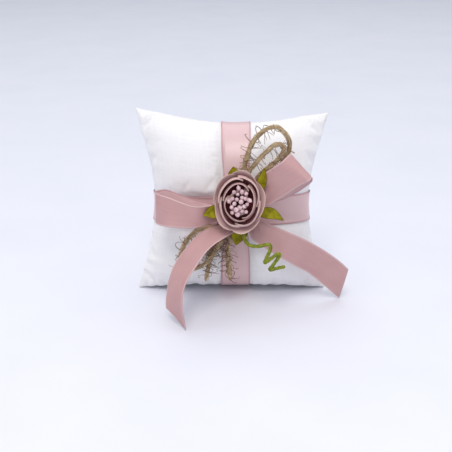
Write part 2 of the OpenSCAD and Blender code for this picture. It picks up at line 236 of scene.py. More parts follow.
def apply_modifier(obj: Piece, kind: str, **settings: object) -> None:
    """Adds a modifier with its settings and applies it.

    Args:
        obj: The piece.
        kind: The modifier's type.
        settings: The modifier's settings by name.
    """
    select_only(obj)
    modifier = obj.modifiers.new(kind.title(), kind)
    for key, value in settings.items():
        setattr(modifier, key, value)
    bpy.ops.object.modifier_apply(modifier=modifier.name)


def mesh_piece(name: str, points: Array, faces: Array | list, uv: Array,
               merged: bool = False) -> Piece:
    """Makes a piece from points and faces.

    Args:
        name: The piece's name.
        points: The points in millimetres.
        faces: The faces, as numbers of points.
        uv: A pattern place for each point.
        merged: Whether points that fall together become one, as where a strip closes.

    Returns:
        The new object, at the origin.
    """
    mesh = bpy.data.meshes.new(name)
    mesh.from_pydata((np.asarray(points, float) * MM).tolist(), [], [list(f) for f in faces])
    layer = mesh.uv_layers.new(name="Cloth")
    corners = np.zeros(len(mesh.loops), np.int32)
    mesh.loops.foreach_get("vertex_index", corners)
    layer.data.foreach_set("uv", np.asarray(uv, np.float32)[corners].ravel())
    obj = bpy.data.objects.new(name, mesh)
    bpy.context.scene.collection.objects.link(obj)
    if merged:
        select_only(obj)
        with editing():
            bpy.ops.mesh.remove_doubles(threshold=0.004 * MM)
    mesh.shade_smooth()
    return obj


def grid_faces(rows: int, columns: int, first: int = 0, flip: bool = False) -> Array:
    """Lists the faces between the points of a grid.

    Args:
        rows: How many rows of points.
        columns: How many points in a row.
        first: The number of the grid's first point.
        flip: Whether the faces look the other way.

    Returns:
        Four point numbers for each face.
    """
    index = first + np.arange(rows * columns).reshape(rows, columns)
    quads = np.stack([index[:-1, :-1], index[:-1, 1:], index[1:, 1:], index[1:, :-1]], -1)
    quads = quads.reshape(-1, 4)
    return quads[:, ::-1] if flip else quads


def strip_piece(name: str, grid: Array, uv: Array, ring: bool = False,
                flip: bool = False) -> Piece:
    """Makes a sheet from a grid of points, open or closed into a ring."""
    rows, columns = grid.shape[:2]
    faces = grid_faces(rows, columns, flip=flip)
    return mesh_piece(name, grid.reshape(-1, 3), faces, uv.reshape(-1, 2), merged=ring)


def tube_arrays(path: Array, radius: Array, sides: int, twist: Array | float = 0.0
                ) -> tuple[Array, list, Array]:
    """Sweeps a closed tube along a path.

    Args:
        path: The path's points in millimetres.
        radius: The radius at each point of the path and each side.
        sides: How many sides the tube has.
        twist: An angle that turns the sides, at each point of the path.

    Returns:
        The points, the faces and a pattern place for each point.
    """
    count = len(path)
    side, other = carried_frames(path)
    angle = np.arange(sides) / sides * 2 * np.pi + np.broadcast_to(twist, (count,))[:, None]
    ring = np.cos(angle)[..., None] * side[:, None] + np.sin(angle)[..., None] * other[:, None]
    points = path[:, None] + ring * radius[..., None]
    index = np.arange(count * sides).reshape(count, sides)
    ahead = np.roll(index, -1, axis=1)
    walls = np.stack([index[:-1], ahead[:-1], ahead[1:], index[1:]], -1).reshape(-1, 4)
    faces = walls.tolist() + [index[0, ::-1].tolist(), index[-1].tolist()]
    around = np.broadcast_to(np.arange(sides) / sides, (count, sides))
    along = np.broadcast_to((reach(path) * MM)[:, None], (count, sides))
    return points.reshape(-1, 3), faces, np.stack([around, along], -1).reshape(-1, 2)


# ---- Node materials ----


def colour(code: str) -> tuple[float, float, float, float]:
    """Turns an sRGB hex colour such as #d9b3b8 to linear red, green, blue and alpha."""
    parts = [int(code[i:i + 2], 16) / 255 for i in (1, 3, 5)]
    linear = [c / 12.92 if c <= 0.04045 else ((c + 0.055) / 1.055) ** 2.4 for c in parts]
    return (linear[0], linear[1], linear[2], 1.0)


def add_node(tree: bpy.types.NodeTree, kind: str, values: dict | None = None) -> bpy.types.Node:
    """Adds a node with its settings and links.

    Args:
        tree: The material's node tree.
        kind: The node's type, without the word that they all start with.
        values: Values or other nodes' outputs, by the name of a setting of the node, or by the
            name or number of an input.

    Returns:
        The new node.
    """
    node = tree.nodes.new(f"ShaderNode{kind}")
    for key, value in (values or {}).items():
        if isinstance(value, bpy.types.NodeSocket):
            tree.links.new(value, node.inputs[key])
        elif isinstance(key, str) and hasattr(node, key):
            setattr(node, key, value)
        else:
            node.inputs[key].default_value = value
    return node


class Paint:
    """Adds a material's nodes. Each method gives its node's output."""

    def __init__(self, tree: bpy.types.NodeTree) -> None:
        """Starts with the two places a pattern can lie in."""
        self.tree = tree
        place = add_node(tree, "TexCoord")
        self.object, self.uv = place.outputs["Object"], place.outputs["UV"]

    def maths(self, operation: str, *inputs: Socket | float) -> Socket:
        """Works out a sum."""
        return add_node(self.tree, "Math", {"operation": operation, **dict(enumerate(inputs))}
                        ).outputs[0]

    def parts(self, vector: Socket) -> Sequence[Socket]:
        """Splits a place into its numbers."""
        return add_node(self.tree, "SeparateXYZ", {0: vector}).outputs

    def scaled(self, vector: Socket, scale: tuple[float, float, float]) -> Socket:
        """Scales a place."""
        return add_node(self.tree, "Mapping", {"Vector": vector, "Scale": scale}).outputs[0]

    def noise(self, vector: Socket, scale: float, detail: float) -> Socket:
        """Adds soft noise."""
        return add_node(self.tree, "TexNoise",
                        {"Vector": vector, "Scale": scale, "Detail": detail}).outputs[0]

    def grains(self, size: float, detail: float) -> Socket:
        """Adds noise whose patches are about size millimetres wide."""
        return self.noise(self.object, 1 / (size * MM), detail)

    def spread(self, value: Socket, *limits: float, **settings: str) -> Socket:
        """Spreads a value from its low and high limits to 0 and 1, or to two more limits."""
        return add_node(self.tree, "MapRange",
                        {**settings, 0: value, **dict(enumerate(limits, 1))}).outputs[0]

    def ramp(self, share: Socket, stops: Sequence[tuple[float, str]]) -> Socket:
        """Colours a share by stops, each a place from 0 to 1 and a hex colour."""
        node = add_node(self.tree, "ValToRGB", {0: share})
        elements = node.color_ramp.elements
        while len(elements) < len(stops):
            elements.new(0.5)
        for element, (place, code) in zip(elements, stops):
            element.position = place
            element.color = colour(code)
        return node.outputs[0]

    def mixed(self, share: Socket | float, first: Socket, second: Socket | tuple,
              blend: str = "MIX") -> Socket:
        """Mixes two colours."""
        return add_node(self.tree, "Mix", {"data_type": "RGBA", "blend_type": blend, 0: share,
                                           6: first, 7: second}).outputs[2]

    def relief(self, height: Socket, strength: float, depth: float) -> Socket:
        """Turns a height to a bump of a depth in millimetres."""
        return add_node(self.tree, "Bump", {"Strength": strength, "Distance": depth * MM,
                                            "Height": height}).outputs[0]


# By finish, and not by Blender's names, which the loaded frame's flat materials also use
MADE_MATERIALS: dict[str, bpy.types.Material] = {}


class Finish:
    """What every finish shares: a name, a shader with its fixed values, and its slot."""

    name: str
    slot: str
    shader: ClassVar[dict[str, object]] = {}

    def material(self) -> bpy.types.Material:
        """Builds the finish's material, once."""
        if self.name not in MADE_MATERIALS:
            made = MADE_MATERIALS[self.name] = bpy.data.materials.new(self.name)
            made.use_nodes = True
            made.node_tree.nodes.clear()
            base, normal = self.paint(Paint(made.node_tree))
            surface = add_node(made.node_tree, "BsdfPrincipled",
                               {**self.shader, "Base Color": base, "Normal": normal})
            add_node(made.node_tree, "OutputMaterial", {"Surface": surface.outputs[0]})
        return MADE_MATERIALS[self.name]

    def paint(self, add: Paint) -> tuple[Socket, Socket]:
        """Adds the nodes for the colour and the bump, and gives both."""
        raise NotImplementedError


@dataclass(frozen=True)
class LinenWeave(Finish):
    """White cotton-linen in plain weave: matt, with thick and thin threads both ways."""

    shader: ClassVar[dict[str, object]] = {
        "Roughness": 0.88, "Sheen Weight": 0.25, "Sheen Roughness": 0.5,
        "Specular IOR Level": 0.25}
    name: str = "white_linen_plain_weave"
    slot: str = "linen"
    thread: float = 0.8      # drawn coarser than the cloth's 0.5 mm threads, so that they show
    slub: float = 22.0       # how long a thick stretch of thread is, in threads
    light: str = "#f7f6f6"
    dark: str = "#f3f2f3"

    def paint(self, add: Paint) -> tuple[Socket, Socket]:
        """Weaves the threads from the panel's own flat pattern."""
        flat = add.scaled(add.uv, (1 / (self.thread * MM),) * 3)
        waves = [add.maths("SINE", add.maths("MULTIPLY", run, math.pi))
                 for run in add.parts(flat)[:2]]
        over = add.spread(add.maths("MULTIPLY", *waves), -0.25, 0.25,
                          interpolation_type="SMOOTHSTEP")
        warp, weft = [add.maths("ABSOLUTE", wave) for wave in waves]
        height = add_node(add.tree, "Mix", {0: over, 2: weft, 3: warp}).outputs[0]
        slubs = [add.noise(add.scaled(flat, stretch), 0.9, 2.0)
                 for stretch in ((1 / self.slub, 1, 1), (1, 1 / self.slub, 1))]
        slub = add.maths("MAXIMUM", *slubs)
        relief = add.maths("MULTIPLY", height, slub)
        tint = add.ramp(slub, ((0.38, self.dark), (0.62, self.light)))
        # Painted shade: the colour is darkened by up to 5% where the weave lies low, between the
        # threads.
        shaded = add.spread(relief, 0.0, 0.6, 0.95, 1.0)
        return add.mixed(1.0, tint, shaded, "MULTIPLY"), add.relief(relief, 0.4, 0.16)


@dataclass(frozen=True)
class SatinWeave(Finish):
    """Polyester satin ribbon: long floats that run lengthwise, a soft gloss, corded edges."""

    name: str = "dusty_pink_satin"
    slot: str = "satin"
    light: str = "#dfbfbf"
    dark: str = "#dcbbbc"
    edge: str = "#cb9ea2"
    rough: float = 0.33
    width: float = 15.0
    float_pitch: float = 0.5     # drawn coarser than the floats' 0.1 mm, so that they show
    float_pull: float = 0.03     # how wide a float is, as a share of its length

    @property
    def shader(self) -> dict[str, object]:
        """Gives the fixed shader values: a broad silky highlight with a pale bloom."""
        return {"Roughness": self.rough, "IOR": 1.5, "Specular IOR Level": 0.6,
                "Sheen Weight": 0.25, "Sheen Roughness": 0.3, "Sheen Tint": colour("#f6e2e3")}

    def paint(self, add: Paint) -> tuple[Socket, Socket]:
        """Draws the floats along the ribbon and the cord in each edge."""
        pitch = 1 / (self.float_pitch * MM)
        floats = add.noise(add.scaled(add.uv, (pitch, self.float_pull * pitch, 1)), 1.0, 2.0)
        broad = add.maths("MULTIPLY", add.noise(add.object, 120.0, 1.0), 0.4)
        tint = add.ramp(add.maths("MULTIPLY_ADD", floats, 0.6, broad),
                        ((0.36, self.dark), (0.64, self.light)))
        border = add.spread(add.maths("ABSOLUTE", add.parts(add.uv)[0]),
                            (self.width / 2 - 0.8) * MM, (self.width / 2 - 0.5) * MM)
        return add.mixed(border, tint, colour(self.edge)), add.relief(floats, 0.06, 0.04)


@dataclass(frozen=True)
class PetalCloth(Finish):
    """Dyed polyester petal cloth, starched and heat-formed: matt, darker towards the root, partly
    by how it is dyed and partly by painted shade deep in the cup.
    """

    shader: ClassVar[dict[str, object]] = {
        "Roughness": 0.72, "Specular IOR Level": 0.3, "Sheen Weight": 0.35,
        "Sheen Roughness": 0.5, "Sheen Tint": colour("#eccfd0")}
    name: str = "petal_cloth_outside"
    slot: str = "petal_cloth"
    stops: tuple[tuple[float, str], ...] = (
        (0.0, "#8f625f"), (0.35, "#b28a87"), (0.75, "#c3a09b"), (0.93, "#cfaea8"),
        (1.0, "#e3cbc0"))
    blotch: float = 3.5      # how wide an uneven patch of dye is
    uneven: float = 0.3      # how far the patches shift the dye
    grain: float = 0.45      # thread spacing, drawn coarser than the real cloth's

    def paint(self, add: Paint) -> tuple[Socket, Socket]:
        """Fades the colour from a dark root to a pale rim, partly the dyed colour and partly
        painted shade deep in the cup, with blotches and a fine grain.
        """
        shifted = add.maths("MULTIPLY_ADD", add.grains(self.blotch, 3.0), self.uneven,
                            add.parts(add.uv)[1])
        # Painted shade in part: the ramp darkens towards the root, deep in the rose's cup.
        dye_and_shade = add.ramp(add.maths("SUBTRACT", shifted, self.uneven / 2), self.stops)
        return dye_and_shade, add.relief(add.grains(self.grain, 2.0), 0.35, 0.12)


@dataclass(frozen=True)
class LeafCloth(Finish):
    """Green leaf cloth, stamped with a midrib and veins, darker and browner towards its edge."""

    shader: ClassVar[dict[str, object]] = {
        "Roughness": 0.6, "Specular IOR Level": 0.2, "Sheen Weight": 0.03}
    name: str = "stamped_leaf_cloth"
    slot: str = "leaf_cloth"
    light: str = "#a39a10"
    dark: str = "#6d6808"
    rim: str = "#6b5414"
    veins: float = 7.0
    mottle: float = 2.5

    def paint(self, add: Paint) -> tuple[Socket, Socket]:
        """Draws the veins off the midrib, the mottled green and the brown edge."""
        parts = add.parts(add.uv)
        middle = add.maths("ABSOLUTE", parts[0])
        vein = add.maths("SINE", add.maths("MULTIPLY", add.maths("SUBTRACT", parts[1], middle),
                                           self.veins * 2 * math.pi))
        mixed = add.maths("MULTIPLY_ADD", vein, 0.12, add.grains(self.mottle, 3.0))
        green = add.ramp(mixed, ((0.3, self.dark), (0.62, self.light)))
        cloth = add.mixed(add.spread(middle, 0.84, 1.0), green, colour(self.rim))
        return cloth, add.relief(mixed, 0.5, 0.2)


@dataclass(frozen=True)
class Mottled(Finish):
    """A finish of two close colours with a grain: wire, beads, glue, thread and dark cloth."""

    name: str
    slot: str
    light: str
    dark: str
    patch: float             # how wide a patch of colour is
    grain: float             # how wide a grain of the surface is
    height: float            # how high the grain stands
    rough: float
    metallic: float = 0.0
    coat: float = 0.0
    sheen: float = 0.0

    @property
    def shader(self) -> dict[str, object]:
        """Gives the fixed shader values."""
        return {"Roughness": self.rough, "Metallic": self.metallic, "Coat Weight": self.coat,
                "Coat Roughness": 0.25, "Sheen Weight": self.sheen}

    def paint(self, add: Paint) -> tuple[Socket, Socket]:
        """Adds the patches of colour and the grain."""
        tint = add.ramp(add.grains(self.patch, 3.0), ((0.35, self.dark), (0.65, self.light)))
        return tint, add.relief(add.grains(self.grain, 2.0), 0.6, self.height)


@dataclass(frozen=True)
class SpunFibre(Finish):
    """Fibre that runs along its own length: jute twine, its hairs and paper-wrapped wire."""

    name: str = "jute_twine"
    slot: str = "twine"
    light: str = "#ead8b8"
    middle: str = "#cdb38a"
    dark: str = "#8d7050"
    across: float = 9.0      # streaks round the strand
    streak: float = 2.2      # length of a streak
    rough: float = 0.85
    sheen: float = 0.2

    @property
    def shader(self) -> dict[str, object]:
        """Gives the fixed shader values: dry fibre."""
        return {"Roughness": self.rough, "Sheen Weight": self.sheen,
                "Specular IOR Level": 0.25}

    def paint(self, add: Paint) -> tuple[Socket, Socket]:
        """Streaks the colour along the fibre."""
        streaks = add.noise(add.scaled(add.uv, (self.across, 1 / (self.streak * MM), 1)),
                            1.0, 3.0)
        tint = add.ramp(streaks, ((0.3, self.dark), (0.5, self.middle), (0.68, self.light)))
        return tint, add.relief(streaks, 0.6, 0.15)


LINEN = LinenWeave()
SATIN = SatinWeave()
# The satin's back, rougher and darker: partly its own duller tone and partly painted shade, since
# the right loop is turned to wear it on its front and so darken that loop.
SATIN_BACK = SatinWeave(name="dusty_pink_satin_back", light="#c99f9e", dark="#c19695",
                        edge="#d4b3b2", rough=0.55)
PETAL_OUTSIDE = PetalCloth()
# Inside faces by ring, darkest in the inner ring and palest in the outer: partly the cloth's
# colour, partly painted shade deep in the cup and painted light on the open outer petals.
PETAL_INSIDE = PetalCloth(name="petal_cloth_inside", stops=(
    (0.0, "#64202b"), (0.5, "#7c353e"), (0.76, "#985c61"), (0.92, "#bb908e"),
    (1.0, "#dfc3b8")))
PETAL_FOLDED = PetalCloth(name="petal_cloth_folded_face", stops=(
    (0.0, "#5f2a31"), (0.3, "#885157"), (0.6, "#ac7b7e"), (0.88, "#cda6a3"),
    (1.0, "#dcbcb2")))
PETAL_OPEN = PetalCloth("petal_cloth_open_face", stops=(
    (0.0, "#6a3238"), (0.25, "#a87678"), (0.5, "#d3afae"), (0.9, "#e2c6c0"),
    (1.0, "#ecd7c6")))
PETAL_RIM = PetalCloth(name="petal_cloth_cut_edge", stops=(
    (0.0, "#a87c7c"), (0.7, "#d6aeaa"), (1.0, "#e6c8bf")))
LEAF = LeafCloth()
BEAD = Mottled("pale_pink_lacquered_bead", "bead", "#eed3d6", "#cfa8ae", 0.9, 0.35, 0.06,
               0.38, coat=0.35)
DARK_CLOTH = Mottled("burgundy_flock", "dark_cloth", "#5a1828", "#2b0912", 1.2, 0.3, 0.2,
                     0.95, sheen=0.15)
STAMEN_WIRE = Mottled("lacquered_stamen_wire", "stamen_wire", "#5d2230", "#3b121d", 0.6, 0.3,
                      0.03, 0.5)
GLUE = Mottled("hot_melt_glue", "glue", "#efe6d2", "#ddd0b4", 1.5, 0.8, 0.08, 0.25, coat=0.2)
THREAD = Mottled("white_cotton_thread", "thread", "#f4f3f1", "#d9d8d6", 0.5, 0.2, 0.06, 0.8,
                 sheen=0.2)
BARE_WIRE = Mottled("galvanised_wire", "bare_wire", "#c9cbcc", "#9c9fa1", 0.7, 0.25, 0.02,
                    0.38, metallic=1.0)
TWINE = SpunFibre()
TWINE_FUZZ = SpunFibre(name="jute_fuzz", light="#fbeccd", middle="#d6bc93", dark="#7a5b3e",
                       across=1.0, streak=6.0)
TWINE_SPRING = SpunFibre(name="jute_springs", light="#b3926b", middle="#86664a",
                         dark="#503a2b", across=1.0, streak=6.0)
COVERED_WIRE = SpunFibre(name="green_paper_wrapped_wire", slot="covered_wire",
                         light="#9da334", middle="#7d8622", dark="#4c5413", across=4.0,
                         streak=1.6, rough=0.6, sheen=0.1)


def dress(obj: Piece, *finishes: Finish) -> None:
    """Gives a piece its finishes, in order."""
    obj.data.materials.clear()
    for finish in finishes:
        obj.data.materials.append(finish.material())


# ---- The stuffed shape and the frames that lie on it ----


class Side(Enum):
    """A face of the pillow, with the way it lies along the depth."""

    FRONT = -1
    BACK = 1


@dataclass(frozen=True)
class PillowForm:
    """The pillow's stuffed shape. u goes left to right and v bottom to top, each -1 to 1."""

    width: float = 100.0
    height: float = 96.0
    stuffed: float = 46.0
    waist: float = 80.0
    top_dip: float = 7.0
    corner_drop: float = 2.5
    bottom_arch: float = 2.5
    lean: float = 10.0
    back_sag: float = 10.0
    seam_y: float = -11.0
    edge_power: float = 2.4
    waist_power: float = 1.6
    pinch: float = 0.12
    ribbon_w: float = 15.0
    ribbon_t: float = 0.4
    ribbon_x: float = 2.0
    ribbon_h: float = 45.5
    clear: float = 0.3
    knot_w: float = 13.0
    knot_h: float = 12.0
    knot_t: float = 7.0
    knot_up: float = 2.0
    rose_tilt: float = 8.0
    rose_at: tuple[float, float, float] = (1.3, 5.0, 2.1)   # off the knot: across, up and out

    def place(self, points: Array) -> Array:
        """Goes from the leaning pillow's frame (across, depth, up it) to the part's frame."""
        p = np.asarray(points, float)
        cos, sin = math.cos(math.radians(self.lean)), math.sin(math.radians(self.lean))
        return np.stack([p[..., 0], self.seam_y + p[..., 1] * cos + p[..., 2] * sin,
                         p[..., 2] * cos - p[..., 1] * sin], -1)

    def half_w(self, v: Array) -> Array:
        """Gives half the width at v."""
        return mix(self.waist, self.width, np.abs(v) ** self.waist_power) / 2

    def bottom_at(self, u: Array) -> Array:
        """Gives the bottom edge's height at u."""
        return self.bottom_arch * (1 - u * u)

    def top_at(self, u: Array) -> Array:
        """Gives the top edge's height at u."""
        dip = self.top_dip * (1 - np.abs(u) ** 1.5)
        return self.height - dip - self.corner_drop * (1 + u) / 2

    def height_at(self, u: Array, v: Array) -> Array:
        """Gives the height up the pillow at u and v."""
        return mix(self.bottom_at(u), self.top_at(u), (v + 1) / 2)

    def v_at(self, u: Array, h: Array) -> Array:
        """Gives v for a height up the pillow at u."""
        return 2 * (h - self.bottom_at(u)) / (self.top_at(u) - self.bottom_at(u)) - 1

    def half_t(self, u: Array, v: Array) -> Array:
        """Gives half the thickness at u and v, pulled in under the ribbons."""
        x, h = self.half_w(v) * u, self.height_at(u, v)
        tight = np.maximum(
            bump(np.abs(x - self.ribbon_x), self.ribbon_w * 0.4, self.ribbon_w * 0.3),
            bump(np.abs(h - self.ribbon_h), self.ribbon_w * 0.4, self.ribbon_w * 0.3))
        crown = (1 - np.abs(u) ** self.edge_power) * (1 - np.abs(v) ** self.edge_power)
        return self.stuffed / 2 * (1 - self.pinch * tight) * np.sqrt(np.maximum(crown, 0))

    def lift_at(self, x: Array) -> Array:
        """Gives how far the cloth is lifted off the floor by the ribbon under it."""
        over = bump(np.abs(x - self.ribbon_x), self.ribbon_w / 2 + 1, 3)
        return (self.ribbon_t + self.clear) * over

    def skin(self, u: Array, v: Array, side: Side) -> Array:
        """Gives points of the cover's outside, in the part's frame."""
        u, v = np.broadcast_arrays(np.asarray(u, float), np.asarray(v, float))
        p = self.place(np.stack([self.half_w(v) * u, side.value * self.half_t(u, v),
                                 self.height_at(u, v)], -1))
        if side is Side.BACK:
            sag = (self.back_sag * (1 - u * u) * np.minimum(1, (1 + v) / 0.15)
                   * bump(np.maximum(v + 0.7, 0), 0, 0.9))
            p[..., 2] -= sag
        p[..., 2] = np.maximum(p[..., 2], self.lift_at(p[..., 0]))
        return p

    @property
    def bow_depth(self) -> float:
        """Gives how far the bow's back lies in front of the pillow's middle."""
        v = self.v_at(0.0, self.ribbon_h)
        crossing = self.half_t(np.asarray(self.ribbon_x / self.half_w(v)), v)
        return float(crossing) + 2 * (self.ribbon_t + self.clear) + self.clear

    def bow(self, points: Array) -> Array:
        """Goes from the bow's frame (across, out of the front, up) to the part's frame."""
        p = np.asarray(points, float)
        return self.place(np.stack([self.ribbon_x + p[..., 0], -self.bow_depth - p[..., 1],
                                    self.ribbon_h + self.knot_up + p[..., 2]], -1))

    def rose(self, points: Array) -> Array:
        """Goes from the rose's frame (across, up, out along its axis) to the part's frame."""
        p = np.asarray(points, float)
        cos = math.cos(math.radians(self.rose_tilt))
        sin = math.sin(math.radians(self.rose_tilt))
        across, up, out = self.rose_at
        return self.bow(np.stack([across + p[..., 0],
                                  self.knot_t + out + p[..., 2] * cos - p[..., 1] * sin,
                                  up + p[..., 1] * cos + p[..., 2] * sin], -1))

    def drop(self, points: Array) -> Array:
        """Gives points across and forward of the knot, at a share of the knot's height."""
        p = np.asarray(points, float)
        knot = self.bow(np.zeros(3))
        return np.stack([knot[0] + p[..., 0], knot[1] + p[..., 1], knot[2] * p[..., 2]], -1)

    def rose_matrix(self) -> Matrix:
        """Gives the rose frame as a matrix in metres, for pieces modelled about its axis."""
        origin = self.rose(np.zeros(3))
        axes = [self.rose(np.eye(3)[i]) - origin for i in range(3)]
        matrix = Matrix.Identity(4)
        for i, axis in enumerate(axes):
            for j in range(3):
                matrix[j][i] = axis[j]
        for j in range(3):
            matrix[j][3] = origin[j] * MM
        return matrix


FORM = PillowForm()


# ---- Pillow ----


# How the linen behaves in the simulation, by the names of Blender's cloth settings
CLOTH = {"quality": 6, "mass": 0.3, "tension_stiffness": 20, "compression_stiffness": 20,
         "shear_stiffness": 6, "bending_stiffness": 0.4, "shrink_min": -0.035,
         "use_pressure": True, "uniform_pressure_force": 4}


@dataclass(frozen=True)
class PillowCover:
    """The two stuffed linen panels, joined at the seam."""

    cells: int = 96          # faces across each panel
    flat: float = 118.0      # how wide each panel was cut
    pucker: float = 0.45     # how deep the gathers beside the seam are
    pucker_pitch: float = 7.0
    pucker_reach: float = 9.0
    swell_cap: float = 2.2   # how far the simulation may move the cloth
    frames: int = 22
    scale: float = 10.0      # the cloth is simulated at ten times its size, where it behaves

    def build(self) -> Piece:
        """Makes the cover, lets the stuffing press it out, and dresses it."""
        line = crowded(self.cells + 1, 0.55)
        u, v = np.meshgrid(line, line)
        grids, uvs, faces = [], [], []
        for side in Side:
            grid = FORM.skin(u, v, side)
            grids.append(self.puckered(grid, u, v, side).reshape(-1, 3))
            offset = 0.5 * (side.value + 1)
            uvs.append(np.stack([(u * 0.5 + offset * 1.1) * self.flat * MM,
                                 v * 0.5 * self.flat * MM], -1).reshape(-1, 2))
            faces.append(grid_faces(len(line), len(line), first=len(faces) * len(line) ** 2,
                                    flip=side is Side.BACK))
        cover = mesh_piece("pillow_cover", np.concatenate(grids), np.concatenate(faces),
                           np.concatenate(uvs), merged=True)
        self.stuff(cover)
        apply_modifier(cover, "SUBSURF", levels=1, render_levels=1)
        self.settle(cover)
        cover.data.shade_smooth()
        dress(cover, LINEN)
        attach(cover, BODY)
        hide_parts("cover_front", "cover_back", "filling")
        return cover

    def puckered(self, grid: Array, u: Array, v: Array, side: Side
                 ) -> Array:
        """Gathers the cloth a little beside the seam, where the stitches draw it in."""
        across = FORM.half_w(v) * u
        up = FORM.height_at(u, v)
        from_side = FORM.half_w(v) - np.abs(across)
        from_end = np.minimum(up - FORM.bottom_at(u), FORM.top_at(u) - up)
        edge = np.minimum(from_side, from_end)
        run = np.where(from_side < from_end, up, across)
        phase = 2 * math.pi * run / self.pucker_pitch
        wave = np.sin(phase + 1.7 * np.sin(run * 0.13 + side.value)) * (
            0.6 + 0.4 * np.sin(run * 0.21 + 2 * side.value))
        depth = self.pucker * np.clip(edge / 1.5, 0, 1) * bump(edge, 1.5, self.pucker_reach)
        held = 1 - self.held(grid)
        normals = grid_normals(grid) * -side.value
        return grid + normals * (depth * wave * held)[..., None]

    def held(self, points: Array) -> Array:
        """Gives how firmly the ribbons hold the cloth at each point, from 0 to 1."""
        up = self.up_pillow(points)
        grip = FORM.ribbon_w / 2 + 0.6
        return np.maximum(bump(np.abs(points[..., 0] - FORM.ribbon_x), grip, 2.5),
                          bump(np.abs(up - FORM.ribbon_h), grip, 2.5))

    def up_pillow(self, points: Array) -> Array:
        """Gives each point's height up the leaning pillow."""
        lean = math.radians(FORM.lean)
        return ((points[..., 1] - FORM.seam_y) * math.sin(lean)
                + points[..., 2] * math.cos(lean))

    def stuff(self, cover: Piece) -> None:
        """Presses the cloth out against the seam and the ribbons by a cloth simulation."""
        start = read_points(cover.data)
        points = start / MM
        lean = math.radians(FORM.lean)
        depth = ((points[:, 1] - FORM.seam_y) * math.cos(lean)
                 - points[:, 2] * math.sin(lean))
        rim = bump(np.abs(depth), 0.4, 1.5)
        floor = bump(points[:, 2], 1.2, 2.0)
        grip = np.maximum.reduce([self.held(points), rim, floor])
        group = cover.vertex_groups.new(name="held")
        for i, weight in enumerate(grip):
            group.add([i], float(weight), "REPLACE")
        write_points(cover.data, start * self.scale)
        select_only(cover)
        cloth = cover.modifiers.new("Cloth", "CLOTH")
        for key, value in CLOTH.items():
            setattr(cloth.settings, key, value)
        cloth.settings.vertex_group_mass = group.name
        cloth.settings.effector_weights.gravity = 0
        cloth.collision_settings.use_collision = False
        cloth.point_cache.frame_start = 1
        cloth.point_cache.frame_end = self.frames
        for frame in range(1, self.frames + 1):
            bpy.context.scene.frame_set(frame)
        bpy.ops.object.modifier_apply(modifier=cloth.name)
        bpy.context.scene.frame_set(1)
        cover.vertex_groups.clear()
        shift = read_points(cover.data) / self.scale - start
        far = np.linalg.norm(shift, axis=1, keepdims=True)
        limit = self.swell_cap * MM
        shift *= np.minimum(1, limit * np.tanh(far / limit) / np.maximum(far, 1e-12))
        moved = np.linalg.norm(shift, axis=1) / MM
        LOG.info("stuffing moved the cover %.2f mm at most, %.2f mm on average",
                 moved.max(), moved.mean())
        write_points(cover.data, start + shift)

    def settle(self, cover: Piece) -> None:
        """Keeps the underside on the floor, over the ribbon that runs under it."""
        points = read_points(cover.data)
        points[:, 2] = np.maximum(points[:, 2], FORM.lift_at(points[:, 0] / MM) * MM)
        write_points(cover.data, points)


# ---- Ribbon ----


CROWDED_EDGES = 0.6      # how far a ribbon's points gather at its corded edges


def corded(share: Array, height: float = 0.16) -> Array:
    """Gives how far the cord in each edge lifts the ribbon, at a share of the half width."""
    return height * np.exp(-((np.abs(share) - 0.94) / 0.045) ** 2)


def ribbon_places(share: Array, along: Array) -> Array:
    """Gives each point's place on the flat ribbon, for its pattern, in metres."""
    across, along = np.broadcast_arrays(share[None] * FORM.ribbon_w / 2, along[:, None])
    return np.stack([across, along], -1) * MM


def finish_ribbon(ribbon: Piece, node: str, length: float, held: str,
                  rests_on: Sequence[str], thickness: float = 0.34) -> None:
    """Args:
        ribbon: The ribbon as a single sheet.
        node: The CAD node it stands for.
        length: The length it was cut to, in millimetres; not used.
        rests_on: What it lies on or hangs from; not used.
        thickness: The ribbon's thickness in millimetres.
    """
    dress(ribbon, SATIN, SATIN_BACK, SATIN)
    apply_modifier(ribbon, "SOLIDIFY", thickness=thickness * MM, offset=0.0,
                   material_offset=1, material_offset_rim=2, use_even_offset=True)
    ribbon.data.shade_smooth()
    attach(ribbon, BODY)
    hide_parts(node)


